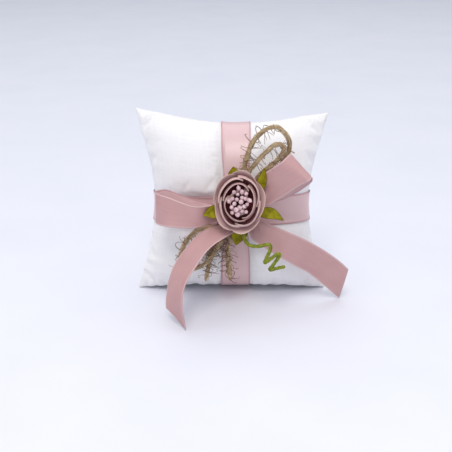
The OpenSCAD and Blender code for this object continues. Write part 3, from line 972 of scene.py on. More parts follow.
@dataclass(frozen=True)
class Wraps:
    """The two turns of ribbon round the pillow."""

    rows: int = 90           # rows over each face
    columns: int = 15
    gather: float = 0.24     # how much the upright turn narrows towards the knot
    gather_reach: float = 26.0
    pleat: float = 0.28      # how deep its pleats by the knot are
    pleat_reach: float = 16.0
    pleat_turn: float = 9.5  # how far they turn over half the width, in radians
    upright_length: float = 235.0
    across_length: float = 212.0

    def loop(self) -> tuple[Array, Array, Array]:
        """Lists the places round the pillow: along the front, then back along the back."""
        line = crowded(self.rows + 1, 0.8)
        run = np.concatenate([line, -line[1:]])
        side = np.concatenate([np.full(len(line), -1), np.full(len(line) - 1, 1)])
        return run, side, crowded(self.columns, CROWDED_EDGES)

    def skin(self, u: Array, v: Array, side: Array) -> Array:
        """Gives the pillow's skin on whichever side each row lies."""
        front = FORM.skin(u, v, Side.FRONT)
        back = FORM.skin(u, v, Side.BACK)
        return np.where((side < 0)[:, None, None], front, back)

    def build(self) -> list[Piece]:
        """Makes both turns."""
        return [self.upright(), self.across()]

    def upright(self) -> Piece:
        """Makes the turn that runs up the front, over the top and under the pillow."""
        run, side, across = self.loop()
        gap = np.abs(FORM.height_at(0, run) - FORM.ribbon_h - FORM.knot_up)
        tight = 1 - self.gather * bump(gap, 6, self.gather_reach) * (side < 0)
        x = FORM.ribbon_x + across[None] * FORM.ribbon_w / 2 * tight[:, None]
        v = np.broadcast_to(run[:, None], x.shape)
        base = self.skin(x / FORM.half_w(v), v, side)
        near = bump(gap, 5, self.pleat_reach) * (side < 0)
        pleats = self.pleat * np.cos(across[None] * self.pleat_turn) * near[:, None]
        return self.wrap("ribbon_upright", base, across, pleats + FORM.clear,
                         "ribbon_wrap_vertical", self.upright_length)

    def across(self) -> Piece:
        """Makes the turn that runs across the front and round the back."""
        run, side, share = self.loop()
        h = FORM.ribbon_h + share[None] * FORM.ribbon_w / 2
        u = np.broadcast_to(run[:, None], (len(run), self.columns))
        base = self.skin(u, FORM.v_at(u, h), side)
        away = np.abs(base[..., 0] - FORM.ribbon_x)
        lift = FORM.clear + (FORM.ribbon_t + FORM.clear) * bump(
            away, FORM.ribbon_w / 2 + 1, 4)
        return self.wrap("ribbon_across", base, share, lift, "ribbon_wrap_horizontal",
                         self.across_length, turned=True)

    def wrap(self, name: str, base: Array, share: Array, lift: Array,
             node: str, length: float, turned: bool = False) -> Piece:
        """Lifts a turn off the cloth, gives it its corded edges and finishes it."""
        outward = grid_normals(base, ring=True)
        middle = base.reshape(-1, 3).mean(0)
        if np.sum(outward * (base - middle)) < 0:
            outward = -outward
        height = lift + FORM.ribbon_t / 2 + corded(share)[None]
        grid = base + outward * np.broadcast_to(height, base.shape[:2])[..., None]
        grid[..., 2] = np.maximum(grid[..., 2], FORM.ribbon_t / 2 + 0.02)
        grid[-1] = grid[0]
        along = reach(grid[:, self.columns // 2])
        LOG.info("%s is %.1f mm round", name, along[-1])
        ribbon = strip_piece(name, grid, ribbon_places(share, along), ring=True,
                             flip=turned)
        finish_ribbon(ribbon, node, length, "stretched", ["pillow_cover"])
        return ribbon


@dataclass(frozen=True)
class RibbonEnd:
    """A loop or tail of the bow: a ribbon through lines that lie across it."""

    name: str
    node: str
    stations: tuple
    in_bow: bool             # whether the stations are in the bow's frame or hang from the knot
    length: float
    held: str
    rests_on: tuple[str, ...]
    pleat: float = 0.45      # how deep the pleats are at the knot
    pleat_reach: float = 14.0
    pleat_turn: float = 8.6  # how far the pleats turn over half the width, in radians
    both_ends: bool = False
    wave: float = 0.35       # how deep the slow waves along it are
    wave_run: float = 7.3    # how far a wave goes for each radian
    cup: float = 0.35        # how far the middle is drawn back near the ends
    steps: int = 12
    columns: int = 17
    turned: bool = False     # whether the satin side is the other one

    def build(self) -> Piece:
        """Makes the ribbon and finishes it."""
        place = FORM.bow if self.in_bow else FORM.drop
        first = smooth([place(s[0]) for s in self.stations], self.steps)
        second = smooth([place(s[1]) for s in self.stations], self.steps)
        share = crowded(self.columns, CROWDED_EDGES)
        grid = first[:, None] + (second - first)[:, None] * (share[None, :, None] + 1) / 2
        normals = grid_normals(grid)
        along = reach(grid[:, self.columns // 2])
        near = bump(along, 1.5, self.pleat_reach)
        if self.both_ends:
            near = near + bump(along[-1] - along, 1.5, self.pleat_reach)
        pleats = self.pleat * near[:, None] * np.cos(share * self.pleat_turn + 0.6)[None]
        waves = self.wave * np.sin(along / self.wave_run + 0.9)[:, None] * (share[None] * 0.8)
        from_end = along[-1] / 2 - np.abs(along - along[-1] / 2)
        cup = -self.cup * (1 - share[None] ** 2) * bump(from_end, 0, 12)[:, None]
        out = pleats + waves * (1 - bump(along, 0, 10))[:, None] + cup + corded(share)[None]
        grid = grid + normals * out[..., None]
        grid[..., 2] = np.maximum(grid[..., 2], 0.2)
        LOG.info("%s is %.1f mm long", self.name, along[-1])
        ribbon = strip_piece(self.name, grid, ribbon_places(share, along), flip=self.turned)
        finish_ribbon(ribbon, self.node, self.length, self.held, list(self.rests_on))
        return ribbon


@dataclass(frozen=True)
class BowKnot:
    """The short band that is pulled tight round the middle of the bow."""

    cuts: int = 9
    round_off: float = 0.42
    fold: float = 0.7        # how deep the folds in the band are
    fold_size: float = 2.6

    def build(self) -> Piece:
        """Rounds a block, presses folds into it and dresses it."""
        clear_selection()
        bpy.ops.mesh.primitive_cube_add(size=1)
        knot = bpy.context.active_object
        knot.name = knot.data.name = "bow_knot_band"
        with editing():
            bpy.ops.mesh.subdivide(number_cuts=self.cuts)
            bpy.ops.transform.resize(
                value=(FORM.knot_w * MM, FORM.knot_t * MM, FORM.knot_h * MM))
        apply_modifier(knot, "CAST", cast_type="SPHERE", factor=self.round_off,
                       size=FORM.knot_h / 2 * MM, use_radius_as_size=False)
        folds = bpy.data.textures.new("folds", "WOOD")
        folds.wood_type = "BANDS"
        folds.noise_scale = self.fold_size * MM
        apply_modifier(knot, "DISPLACE", texture=folds, texture_coords="LOCAL",
                       strength=self.fold * MM, mid_level=0.8)
        apply_modifier(knot, "SUBSURF", levels=1, render_levels=1)
        turn = Matrix.Rotation(math.radians(-FORM.lean), 4, "X")
        centre = Vector((FORM.bow(np.array([0, FORM.knot_t / 2, 0])) * MM).tolist())
        knot.data.transform(Matrix.Translation(centre) @ turn)
        knot.data.shade_smooth()
        dress(knot, SATIN_BACK)
        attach(knot, BODY)
        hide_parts("bow_knot")
        return knot


LEFT_LOOP = (
    ((-6.9, 4, 3), (-6.9, 4, -5.4)), ((-13, 10.4, 3), (-13, 8.4, -6)),
    ((-21, 16, 4), (-21, 15, -7)), ((-33, 14, 8), (-33, 16.2, -6.4)),
    ((-39.5, 8, 9.5), (-39.5, 8, -6)), ((-34, 2.5, 9.6), (-34, 2.5, -5)),
    ((-22, 3, 5.2), (-22, 3, -7)), ((-12, 2.5, 2.8), (-12, 2.5, -5.5)),
    ((-6.5, 2, 2), (-6.5, 2, -4)))
RIGHT_LOOP = (
    ((6, 5, 8.5), (7.2, 5, 1)), ((12.5, 10.2, 18), (16.5, 9, 3.5)),
    ((20.4, 15.6, 24.4), (30.6, 14.8, 13.8)), ((24.4, 13.6, 27.8), (35, 16.4, 16.4)),
    ((25.9, 11.5, 28.8), (36.5, 11.5, 17.2)),
    ((25.2, 6.5, 27.2), (36.3, 6.5, 13.5)), ((16, 4.5, 18.4), (24.4, 4.5, 5.6)),
    ((6.8, 3, 9), (8.5, 3, 1)))
LEFT_TAIL = (
    ((-4.5, -7.4, 0.88), (3.5, -7.4, 0.85)), ((-15, -10, 0.86), (-4, -16, 0.83)),
    ((-22, -14, 0.75), (-13, -23, 0.76)), ((-28.5, -18, 0.6), (-19, -28, 0.63)),
    ((-32.5, -22, 0.46), (-24, -33, 0.48)), ((-34.5, -25, 0.26), (-25.5, -36, 0.3)),
    ((-34.5, -26, 0.16), (-24.5, -34.5, 0.005)))
RIGHT_TAIL = (
    ((7.2, -4, 0.98), (7, -4, 0.85)), ((16, -7, 0.89), (8, -7.5, 0.73)),
    ((26.5, -8, 0.8), (20, -9, 0.57)), ((36, -7, 0.7), (29.5, -7, 0.44)),
    ((44.5, -4, 0.58), (37.5, -4, 0.32)), ((52.5, -2, 0.45), (46, -2, 0.16)),
    ((58, -1, 0.34), (54, 0, 0.002)))
BOW_RIBBONS = (
    RibbonEnd("bow_loop_left_ribbon", "bow_loop_left", LEFT_LOOP, True, 72, "folded",
              ("bow_knot_band",), both_ends=True),
    # Turned, so that the loop's front wears the darker satin back: painted shade for that loop.
    RibbonEnd("bow_loop_right_ribbon", "bow_loop_right", RIGHT_LOOP, True, 76, "folded",
              ("bow_knot_band",), pleat=0.95, pleat_reach=17.0, both_ends=True, turned=True),
    RibbonEnd("bow_tail_left_ribbon", "bow_tail_left", LEFT_TAIL, False, 60, "hung",
              ("bow_knot_band",)),
    RibbonEnd("bow_tail_right_ribbon", "bow_tail_right", RIGHT_TAIL, False, 62, "hung",
              ("bow_knot_band",), turned=True))


# ---- Rose ----


def finish_petal(cloth: Piece, node: str, thickness: float, **edges: int) -> None:
    """Args:
        cloth: The petal or leaf as a single sheet, dressed.
        node: The CAD node it stands for.
        thickness: The cloth's thickness in millimetres.
        edges: Which finishes its back and its cut edge have, as the modifier says it.
    """
    apply_modifier(cloth, "SOLIDIFY", thickness=thickness * MM, offset=0.0, **edges)
    apply_modifier(cloth, "SUBSURF", levels=1, render_levels=1)
    cloth.data.shade_smooth()
    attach(cloth, BODY)
    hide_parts(node)


@dataclass(frozen=True)
class Petal:
    """One cupped petal, wrapped round the rose's axis."""

    name: str
    turn: float
    span: float
    root: float
    belly: float
    rim: float
    root_height: float
    rim_height: float
    stretch: float = 1.22
    lap: float = 0.5
    belly_at: float = 0.5
    rounding: float = 0.4        # how far the corners of the rim are rounded back
    inside: Finish = PETAL_INSIDE
    ripple: float = 0.22     # how far the rim waves in and out
    curl: float = 0.2        # how far the rim's lip turns out
    rows: int = 16
    columns: int = 24
    thickness: float = 0.22

    def build(self) -> Piece:
        """Makes the petal with its pale cut edge and dresses it."""
        q, s = strip_shares(self.rows, self.columns)
        angle = np.radians(self.turn + self.span * s * (0.62 + 0.38 * np.sin(q * math.pi / 2)))
        off = q * q * s * s
        ripple = self.ripple * q**3 * np.sin(s * 4.4 + self.turn)
        out = np.sin(np.minimum(q / self.belly_at, 1) * math.pi / 2)
        drawn = (np.maximum(q - self.belly_at, 0) / max(1 - self.belly_at, 0.01)) ** 1.6
        r = (mix(self.root, self.belly, out) + (self.rim - self.belly) * drawn
             - self.rounding * off
             + self.lap * s * (0.5 + 0.5 * q) + self.curl * q**14 + ripple)
        z = (mix(self.root_height, self.rim_height, q**1.1) - (1.4 + self.rounding) * off * q
             + ripple)
        grid = FORM.rose(np.stack([r * np.cos(angle), r * np.sin(angle) * self.stretch, z],
                                  -1))
        petal = strip_piece(f"{self.name}_cloth", grid, np.stack([s, q], -1), flip=True)
        dress(petal, self.inside, PETAL_OUTSIDE, PETAL_RIM)
        finish_petal(petal, self.name, self.thickness, material_offset=1, material_offset_rim=2)
        return petal


@dataclass(frozen=True)
class Leaf:
    """One pointed leaf, folded a little along its midrib."""

    name: str
    foot: tuple[float, float, float]
    tip: tuple[float, float, float]
    half_width: float
    fold: float
    droop: float
    arc: float = 0.0         # how far the midrib bows to one side
    rows: int = 20
    columns: int = 13
    thickness: float = 0.3

    def build(self) -> Piece:
        """Makes the leaf and dresses it."""
        foot, tip = np.array(self.foot), np.array(self.tip)
        along = tip - foot
        across = unit(np.cross([0, 0, 1], along))
        q, s = strip_shares(self.rows, self.columns)
        wide = self.half_width * (0.06 + np.sin(np.pi * q**0.8))
        edge_wave = 0.25 * np.sin(q * 14 + s * 2) * np.abs(s) * np.sin(np.pi * q)
        lift = self.fold * np.abs(s) * wide - self.droop * q * q + edge_wave
        flat = (foot + along * q[..., None] + across * (wide * s)[..., None])
        flat += across * (self.arc * np.sin(np.pi * q**1.2))[..., None]
        flat[..., 2] += lift
        leaf = strip_piece(f"{self.name}_cloth", FORM.rose(flat), np.stack([s, q], -1))
        dress(leaf, LEAF)
        finish_petal(leaf, self.name, self.thickness)
        return leaf


class BeadForm(Enum):
    """The two kinds of bead on the stamens."""

    ROUND = "round"
    TEARDROP = "teardrop"


@dataclass(frozen=True)
class Ring:
    """A ring of petals that share their form."""

    span: float              # half the angle that a petal covers
    root: float              # radius at the root
    belly_at: float          # where up a petal its belly is
    rounding: float
    petals: tuple[tuple[float, float, float, float], ...]   # turn, belly, rim and its height


ROSE_RINGS = {
    "inner": Ring(68, 4.6, 0.5, 0.4, (
        (110, 7.8, 6.9, 0.88), (230, 7.8, 6.9, 0.88), (350, 8.5, 6.9, 0.86))),
    "middle": Ring(54, 5.8, 0.75, 0.6, (
        (40, 10.4, 9.4, 0.80), (130, 10.1, 9.1, 0.80), (220, 10.1, 9.1, 0.80),
        (310, 10.4, 9.4, 0.80))),
    "outer": Ring(46, 7.1, 1.0, 1.4, (
        (70, 12.2, 12.2, 0.66), (142, 12.3, 12.3, 0.66), (214, 12.4, 12.4, 0.64),
        (286, 12.6, 12.6, 0.62), (358, 12.4, 12.4, 0.66)))}
# Each ring's inside finish: darker deeper in the cup, paler on the open outer ring, partly painted
# shade and painted light.
PETAL_FACES = {"middle": PETAL_FOLDED, "outer": PETAL_OPEN}


@dataclass(frozen=True)
class Rose:
    """The fabric rose: calyx, dark core, stamens, petals and leaves."""

    depth: float = 12.0
    bead: float = 2.3
    bead_count: int = 22
    calyx_h: float = 1.6
    core_r: float = 4.2
    core_cut: float = 1.6    # how far below its middle the ball for the core is cut
    golden: float = 137.508
    bead_spread: float = 5.4
    bead_stretch: float = 1.35   # how much taller the cluster is than it is wide
    bead_dome: float = 0.032     # how fast the cluster sinks towards its edge
    bead_steps: float = 1.6      # how much the beads differ in depth

    @property
    def core_h(self) -> float:
        """Gives the core's height."""
        return 0.42 * self.depth

    def petals(self) -> list[Petal]:
        """Lists the twelve petals, from the inner ring out."""
        made: list[Petal] = []
        for name, ring in ROSE_RINGS.items():
            for i, (turn, belly, rim, high) in enumerate(ring.petals, 1):
                made.append(Petal(f"petal_{name}_{i}", turn, ring.span, ring.root, belly, rim,
                                  self.calyx_h + 0.3 - 0.06 * len(made), high * self.depth,
                                  belly_at=ring.belly_at, rounding=ring.rounding,
                                  inside=PETAL_FACES.get(name, PETAL_INSIDE)))
        return made

    def leaves(self) -> list[Leaf]:
        """Lists the five leaves."""
        return [Leaf("leaf_top_left", (-1.5, 8, -0.6), (-2.8, 17, 1), 3.6, 0.3, 0.4),
                Leaf("leaf_top_right", (9.8, 3.6, 1.2), (12.5, 16.4, 4.3), 2.2, 0.6, -0.4),
                Leaf("leaf_right", (8, -5.2, -0.8), (22, -9.4, 0.6), 2.8, 0.3, 1, 1.6),
                Leaf("leaf_bottom", (1.6, -10, -1.6), (-1.6, -21.6, 0), 4.1, 0.2, 0.6),
                Leaf("leaf_left", (-7, -3.6, 0.2), (-17.4, -6.6, 3.6), 3.3, 0.3, 0.4)]

    def build(self) -> list[Piece]:
        """Makes the whole flower."""
        pieces = [self.calyx(), self.core(), self.beads()]
        pieces += [petal.build() for petal in self.petals()]
        pieces += [leaf.build() for leaf in self.leaves()]
        return pieces

    def calyx(self) -> Piece:
        """Flares a short cup out of a disc and dresses it as green cloth."""
        clear_selection()
        bpy.ops.mesh.primitive_cylinder_add(vertices=30, radius=2.4 * MM, depth=0.5 * MM,
                                            location=(0, 0, 0.25 * MM))
        cup = bpy.context.active_object
        cup.name = cup.data.name = "rose_calyx_cup"
        with editing("DESELECT"):
            bpy.ops.mesh.select_mode(type="FACE")
        for face in cup.data.polygons:
            face.select = face.normal.z > 0.9
        bpy.ops.object.mode_set(mode="EDIT")
        bpy.ops.mesh.extrude_region_move(
            TRANSFORM_OT_translate={"value": (0, 0, (self.calyx_h - 0.5) * MM)})
        bpy.ops.transform.resize(value=(1.42, 1.42, 1))
        bpy.ops.mesh.inset(thickness=0.4 * MM, depth=-0.15 * MM)
        bpy.ops.object.mode_set(mode="OBJECT")
        apply_modifier(cup, "BEVEL", width=0.15 * MM, segments=2)
        return self.on_rose(cup, LEAF, "rose_calyx")

    def core(self) -> Piece:
        """Makes the dark flocked dome that the stamens stand in."""
        clear_selection()
        bpy.ops.mesh.primitive_uv_sphere_add(segments=40, ring_count=24,
                                             radius=self.core_r * MM)
        dome = bpy.context.active_object
        dome.name = dome.data.name = "rose_core_dome"
        with editing():
            bpy.ops.mesh.bisect(plane_co=(0, 0, -self.core_cut * MM), plane_no=(0, 0, 1),
                                use_fill=True, clear_inner=True)
            bpy.ops.mesh.select_all(action="SELECT")
            bpy.ops.transform.resize(value=(1, 1, self.core_h / (self.core_r + self.core_cut)))
        low = min(v.co.z for v in dome.data.vertices)
        dome.data.transform(Matrix.Translation((0, 0, self.calyx_h * MM - low)))
        fuzz = bpy.data.textures.new("flock", "CLOUDS")
        fuzz.noise_scale = 0.7 * MM
        apply_modifier(dome, "DISPLACE", texture=fuzz, texture_coords="LOCAL",
                       strength=0.5 * MM, mid_level=0.8)
        return self.on_rose(dome, DARK_CLOTH, "rose_core")

    def on_rose(self, obj: Piece, finish: Finish, *nodes: str
                ) -> Piece:
        """Moves a piece modelled about the rose's axis to its place and dresses it."""
        obj.data.transform(obj.matrix_world)
        obj.matrix_world = Matrix.Identity(4)
        obj.data.transform(FORM.rose_matrix())
        obj.data.shade_smooth()
        dress(obj, finish)
        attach(obj, BODY)
        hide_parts(*nodes)
        return obj

    def bead_spot(self, i: int) -> Array:
        """Gives a bead's centre: the beads stand on a spiral, a golden angle apart."""
        out = self.bead_spread * math.sqrt((i + 0.6) / self.bead_count)
        angle = math.radians(self.golden * i)
        sunk = self.bead_dome * out * out + self.bead_steps * (2 * i % 7) / 6
        return np.array([out * math.cos(angle), out * math.sin(angle) * self.bead_stretch,
                         self.depth - self.bead / 2 - sunk])

    def master_bead(self, form: BeadForm) -> Piece:
        """Models one bead at the origin, its stem along -Z."""
        clear_selection()
        bpy.ops.mesh.primitive_uv_sphere_add(segments=20, ring_count=14,
                                             radius=self.bead / 2 * MM)
        bead = bpy.context.active_object
        if form is BeadForm.TEARDROP:
            with editing():
                bpy.ops.transform.resize(value=(0.82, 0.82, 1.4))
                bpy.ops.mesh.select_all(action="DESELECT")
            for ring, keep in ((0.35, 0.86), (0.6, 0.8), (0.8, 0.72)):
                for vertex in bead.data.vertices:
                    vertex.select = vertex.co.z > ring * self.bead / 2 * MM
                bpy.ops.object.mode_set(mode="EDIT")
                bpy.ops.transform.resize(value=(keep, keep, 1.06))
                bpy.ops.object.mode_set(mode="OBJECT")
        return bead

    def beads(self) -> Piece:
        """Copies the beads to their places and joins them as one cluster."""
        draw = random.Random(11)
        masters = {form: self.master_bead(form) for form in BeadForm}
        copies = []
        for i in range(self.bead_count):
            form = BeadForm.TEARDROP if i % 5 in (1, 3, 4) else BeadForm.ROUND
            spot = self.bead_spot(i)
            lean = Vector((spot[0] * 0.9, spot[1] * 0.8, 7.0)).normalized()
            if form is BeadForm.TEARDROP:
                lean = (lean + Vector((draw.uniform(-0.7, 0.7), draw.uniform(-0.7, 0.7),
                                       0))).normalized()
            size = draw.uniform(0.92, 1.14)
            spot = spot * [0.96, 0.96, 1]
            spot = spot + [draw.uniform(-0.2, 0.2), draw.uniform(-0.2, 0.2), 0]
            copy = masters[form].copy()
            copy.data = masters[form].data.copy()
            turn = lean.to_track_quat("Z", "Y").to_matrix().to_4x4()
            copy.data.transform(Matrix.Translation(Vector((spot * MM).tolist())) @ turn
                                @ Matrix.Scale(size, 4))
            bpy.context.scene.collection.objects.link(copy)
            copies.append(copy)
        for master in masters.values():
            bpy.data.objects.remove(master)
        clear_selection()
        for copy in copies:
            copy.select_set(True)
        bpy.context.view_layer.objects.active = copies[0]
        bpy.ops.object.join()
        cluster = bpy.context.active_object
        cluster.name = cluster.data.name = "stamen_bead_cluster"
        return self.on_rose(cluster, BEAD, "stamen_beads")


# ---- Twine and tendril ----


class Fibre(Enum):
    """The loose fibres of the twine: short ones that hug it, and wild ones that spring off."""

    FUZZ = "fuzz"
    SPRINGS = "springs"


@dataclass(frozen=True)
class Twine:
    """One length of jute twine and the fibres that stand off it."""

    name: str
    node: str
    route: tuple[tuple[float, float, float], ...]
    length: float
    far_end: str
    diameter: float = 2.0
    core_share: float = 0.83     # how much of the diameter is spun core; the rest is fuzz
    plies: int = 3
    lay: float = 5.0         # how far one full twist of the plies goes
    sides: int = 14
    step: float = 0.45
    fuzz_per_mm: float = 6.5     # short fibres that hug the core
    springs_per_mm: float = 0.55     # wild ones that stand off it
    fuzz_d: float = 0.27
    spring_d: float = 0.42
    spring_reach: float = 5.4
    seed: int = 1

    def path(self) -> Array:
        """Gives the twine's centreline in the part's frame, evenly stepped."""
        curve = FORM.bow(smooth(self.route, 10))
        along = reach(curve)
        even = np.linspace(0, along[-1], int(along[-1] / self.step) + 1)
        return at_reach(curve, along, even)

    def build(self) -> list[Piece]:
        path = self.path()
        core = self.core(path)
        fibres = [self.fibres(path, kind) for kind in Fibre]
        for piece in (core, *fibres):
            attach(piece, BODY)
        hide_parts(self.node)
        LOG.info("%s is %.1f mm long", self.name, reach(path)[-1])
        return [core, *fibres]

    def core(self, path: Array) -> Piece:
        """Sweeps the twisted plies along the path."""
        along = reach(path)
        angle = np.arange(self.sides) / self.sides * 2 * np.pi
        lobes = self.core_share * (0.84 + 0.16 * np.abs(np.cos(self.plies / 2 * angle)))
        rough = 1 + 0.08 * np.sin(along * 1.9 + 3 * self.seed) * np.sin(along * 0.7)
        ends = np.minimum(1, 0.35 + np.minimum(along, along[-1] - along) / 1.2)
        radius = self.diameter / 2 * lobes[None] * (rough * ends)[:, None]
        points, faces, uv = tube_arrays(path, radius, self.sides, along / self.lay * 2 * np.pi)
        core = mesh_piece(self.name, points, faces, uv)
        dress(core, TWINE)
        return core

    def fibres(self, path: Array, kind: Fibre) -> Piece:
        """Lays short fibres along the twine, or springs longer ones off it."""
        spring = kind is Fibre.SPRINGS
        draw = np.random.default_rng(self.seed + (100 if spring else 0))
        along = reach(path)
        side, other = carried_frames(path)
        points, faces, uvs, used = [], [], [], 0
        per_mm = self.springs_per_mm if spring else self.fuzz_per_mm
        for _ in range(int(along[-1] * per_mm)):
            run = draw.uniform(0.5, 5.0) if spring else draw.uniform(2.5, 8.0)
            start = draw.uniform(0, max(along[-1] - run, 0.5))
            t = np.linspace(0, 1, 13 if spring else 7)
            at = np.clip(start + run * t * draw.choice([-1, 1]) ** spring, 0, along[-1])
            centre, first, second = [at_reach(rows, along, at) for rows in (path, side, other)]
            core = self.diameter / 2 * self.core_share * 0.92
            if spring:
                far = self.spring_reach * draw.uniform(0.35, 1.45)
                hook = draw.uniform(0.4, 1.6)
                out = core + far * (t - 0.3 * hook * t**3)
                turn = draw.uniform(0, 2 * np.pi) + hook * 1.7 * t**2 * draw.choice([-1, 1])
            else:
                far = draw.uniform(0.05, 0.5)
                out = core + far * np.sin(np.pi * t) + draw.uniform(0, 0.5) * t**3
                turn = draw.uniform(0, 2 * np.pi) + t * draw.normal(0.9, 0.8)
            hair = centre + (first * np.cos(turn)[:, None]
                             + second * np.sin(turn)[:, None]) * out[:, None]
            if spring:
                kinks = np.cumsum(draw.normal(0, 0.16, (len(t), 3)), axis=0)
                hair = hair + kinks * t[:, None]
            hair[:, 2] = np.maximum(hair[:, 2], 0.15)
            thin = (self.spring_d if spring else self.fuzz_d) / 2 * draw.uniform(0.7, 1.3)
            thin = thin * (1 - 0.5 * t)
            made, quads, _ = tube_arrays(hair, np.repeat(thin[:, None], 3, 1), 3)
            shade = draw.uniform(0, 60)
            points.append(made)
            faces += [[k + used for k in quad] for quad in quads]
            uvs.append(np.stack([np.full(len(made), shade),
                                 np.repeat(reach(hair), 3) * MM], -1))
            used += len(made)
        piece = mesh_piece(f"{self.name}_{kind.value}", np.concatenate(points), faces,
                           np.concatenate(uvs))
        dress(piece, TWINE_SPRING if spring else TWINE_FUZZ)
        return piece


@dataclass(frozen=True)
class Tendril:
    """The curly wire, wrapped in green paper."""

    route: tuple[tuple[float, float, float], ...]
    length: float = 57.0
    diameter: float = 1.8
    wrap: float = 2.2        # how far one turn of the paper goes

    def build(self) -> Piece:
        out = np.array([0, FORM.knot_t, 0])
        path = FORM.bow(smooth(np.asarray(self.route) + out, 10))
        along = reach(path)
        angle = np.arange(12) / 12 * 2 * np.pi
        ridge = 0.05 * np.sin(along[:, None] / self.wrap * 2 * np.pi + angle[None])
        uneven = 0.04 * np.sin(along * 0.8)[:, None]
        ends = np.minimum(1, 0.55 + np.minimum(along, along[-1] - along) / 1.0)[:, None]
        radius = self.diameter / 2 * (1 + ridge + uneven) * ends
        points, faces, uv = tube_arrays(path, radius, 12)
        wire = mesh_piece("tendril_wire", points, faces, uv)
        dress(wire, COVERED_WIRE)
        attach(wire, BODY)
        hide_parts("tendril")
        return wire


TWINES = (
    Twine("twine_loop_outer", "vine_loop_outer",
          ((2, 4, 8.5), (2.5, 5.6, 14), (3.5, 6.6, 20), (5, 7, 26), (7.5, 7, 33),
           (11, 7, 37.5), (15.5, 7, 40.5), (20, 7, 41), (24, 6.5, 37.5), (26, 5, 33),
           (25.5, 3, 28), (22, 2, 22), (17, 1.8, 16), (12, 1.8, 11)), 79.4, "object", seed=3),
    Twine("twine_loop_inner", "vine_loop_inner",
          ((4, 6, 11), (6, 8.4, 19), (11.5, 10.6, 26.5), (16, 11, 31), (19, 11, 33.2),
           (22, 10.6, 32.6), (23, 10, 29.8), (20, 9, 25.5), (15.8, 8, 21.5), (11, 6.2, 17),
           (8.4, 5.4, 12.6)), 58.0, "object", seed=5),
    Twine("twine_loop_lower", "vine_loop_lower",
          ((-5, 4.4, -7.8), (-10, 6.5, -8.4), (-17, 8.6, -8.8), (-22, 9, -12),
           (-26, 8, -17.6), (-27.6, 7, -23), (-26.6, 6, -27.6), (-23, 5.8, -30),
           (-18.6, 5.8, -29), (-14.6, 6, -26.6), (-11.4, 6, -22.6), (-8.8, 6.2, -18),
           (-6.6, 6.2, -14), (-5.6, 5.6, -10.6)), 68.7, "object", seed=8),
    Twine("twine_end_short", "vine_end_short",
          ((-3, 2, -8), (-6, 2.4, -12.6), (-10, 2.6, -17.6), (-12.6, 2.6, -22.6),
           (-13.4, 2.8, -27.6), (-14.6, 3.4, -33.4), (-15.4, 4, -37)), 32.3, "bare",
          springs_per_mm=2.2, seed=13),
    Twine("twine_end_long", "vine_end_long",
          ((-1, 4, -8), (-3, 4.2, -12), (-4, 4.2, -17), (-4, 4.2, -22), (-3.8, 4, -27),
           (-3.4, 3.4, -32), (-3, 2.6, -37)), 30.0, "bare", springs_per_mm=2.0,
          seed=21))
TENDRIL = Tendril(
    ((2.5, 3.6, -6), (3.4, 5.2, -10), (4.4, 6.6, -13.4), (6.5, 7.6, -15.8), (11, 8, -16.2),
     (14.6, 8, -15.4), (16.6, 8, -15.8), (16.4, 8, -18.6), (14.6, 8, -22.6),
     (14.2, 8, -24.4), (17, 8, -22.4), (20.4, 8, -20), (21.2, 8, -21), (18.6, 8, -25),
     (16.6, 8, -28), (19.6, 8, -27.4), (24, 8, -26.4)))


# ---- Stage ----


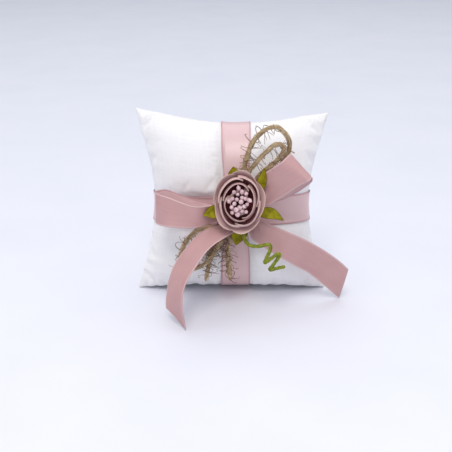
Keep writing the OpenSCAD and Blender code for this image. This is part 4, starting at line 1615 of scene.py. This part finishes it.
@dataclass(frozen=True)
class Stage:
    """The camera, the lights and the floor."""

    target: tuple[float, float, float] = (-3.0, -5.0, 33.0)
    elevation: float = 22.0
    distance: float = 455.0
    lens: float = 68.4

    def camera(self) -> Piece:
        """Sets the camera in front of the pillow, looking down at it."""
        data = bpy.data.cameras.new("camera")
        data.lens = self.lens
        data.sensor_width = 36.0
        data.clip_start = 0.01
        camera = bpy.data.objects.new("camera", data)
        up = math.radians(self.elevation)
        camera.location = [self.target[0] * MM,
                           (self.target[1] - self.distance * math.cos(up)) * MM,
                           (self.target[2] + self.distance * math.sin(up)) * MM]
        camera.rotation_euler = (math.pi / 2 - up, 0, 0)
        bpy.context.scene.collection.objects.link(camera)
        bpy.context.scene.camera = camera
        return camera

    def soft_box(self, name: str, place: tuple[float, float, float], size: float,
                 power: float, code: str) -> None:
        """Adds a square soft light that faces the pillow."""
        data = bpy.data.lights.new(name, "AREA")
        data.energy = power
        data.size = size
        data.color = colour(code)[:3]
        light = bpy.data.objects.new(name, data)
        light.location = place
        aim = Vector(self.target) * MM - Vector(place)
        light.rotation_euler = aim.to_track_quat("-Z", "Y").to_euler()
        bpy.context.scene.collection.objects.link(light)

    def build(self) -> None:
        """Adds the floor, the sky light and the soft boxes."""
        clear_selection()
        bpy.ops.mesh.primitive_plane_add(size=16)
        floor = bpy.context.active_object
        floor.name = "floor"
        paper = Mottled("pale_table", "linen", "#e9ebf3", "#e6e8f1", 60.0, 2.0, 0.01, 0.7)
        floor.data.materials.append(paper.material())
        floor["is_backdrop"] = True
        scene = bpy.context.scene
        scene.view_settings.view_transform = "Standard"
        scene.world = bpy.data.worlds.new("studio")
        scene.world.use_nodes = True
        sky = scene.world.node_tree.nodes["Background"]
        sky.inputs["Color"].default_value = colour("#eef1fb")
        sky.inputs["Strength"].default_value = 0.42
        self.soft_box("key", (-0.1, -0.62, 0.98), 0.42, 4.6, "#fffaf5")
        self.soft_box("top", (0.0, 0.3, 1.5), 2.2, 18.0, "#fafbff")
        self.soft_box("fill", (0.75, -0.45, 0.4), 0.6, 0.9, "#f6f6ff")
        self.soft_box("left", (-0.8, -0.3, 0.3), 0.5, 0.6, "#fbf9ff")


def dress_kept_nodes(nodes: dict[str, Piece]) -> None:
    """Gives the CAD nodes that stay their finishes."""
    finishes = {"seam_thread": THREAD, "closing_stitches": THREAD, "glue_pad": GLUE,
                "stem_wire": COVERED_WIRE, "stamen_stems": STAMEN_WIRE,
                "vine_binding_wire": BARE_WIRE}
    for name, finish in finishes.items():
        nodes[name].data.materials.clear()
        nodes[name].data.materials.append(finish.material())
        LOG.info("kept %s as %s", name, finish.name)


def main() -> None:
    """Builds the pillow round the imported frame."""
    logging.basicConfig(level=logging.INFO, format="%(message)s")
    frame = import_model()
    stage = Stage()
    stage.camera()
    for twine in TWINES:
        twine.build()
    TENDRIL.build()
    PillowCover().build()
    Wraps().build()
    BowKnot().build()
    for ribbon in BOW_RIBBONS:
        ribbon.build()
    Rose().build()
    dress_kept_nodes(frame["nodes"])
    stage.build()
    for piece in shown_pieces():
        faces = len(piece.data.polygons) if piece.type == "MESH" else 0
        LOG.info("piece %s: %d faces", piece.name, faces)


if __name__ == "__main__":
    main()
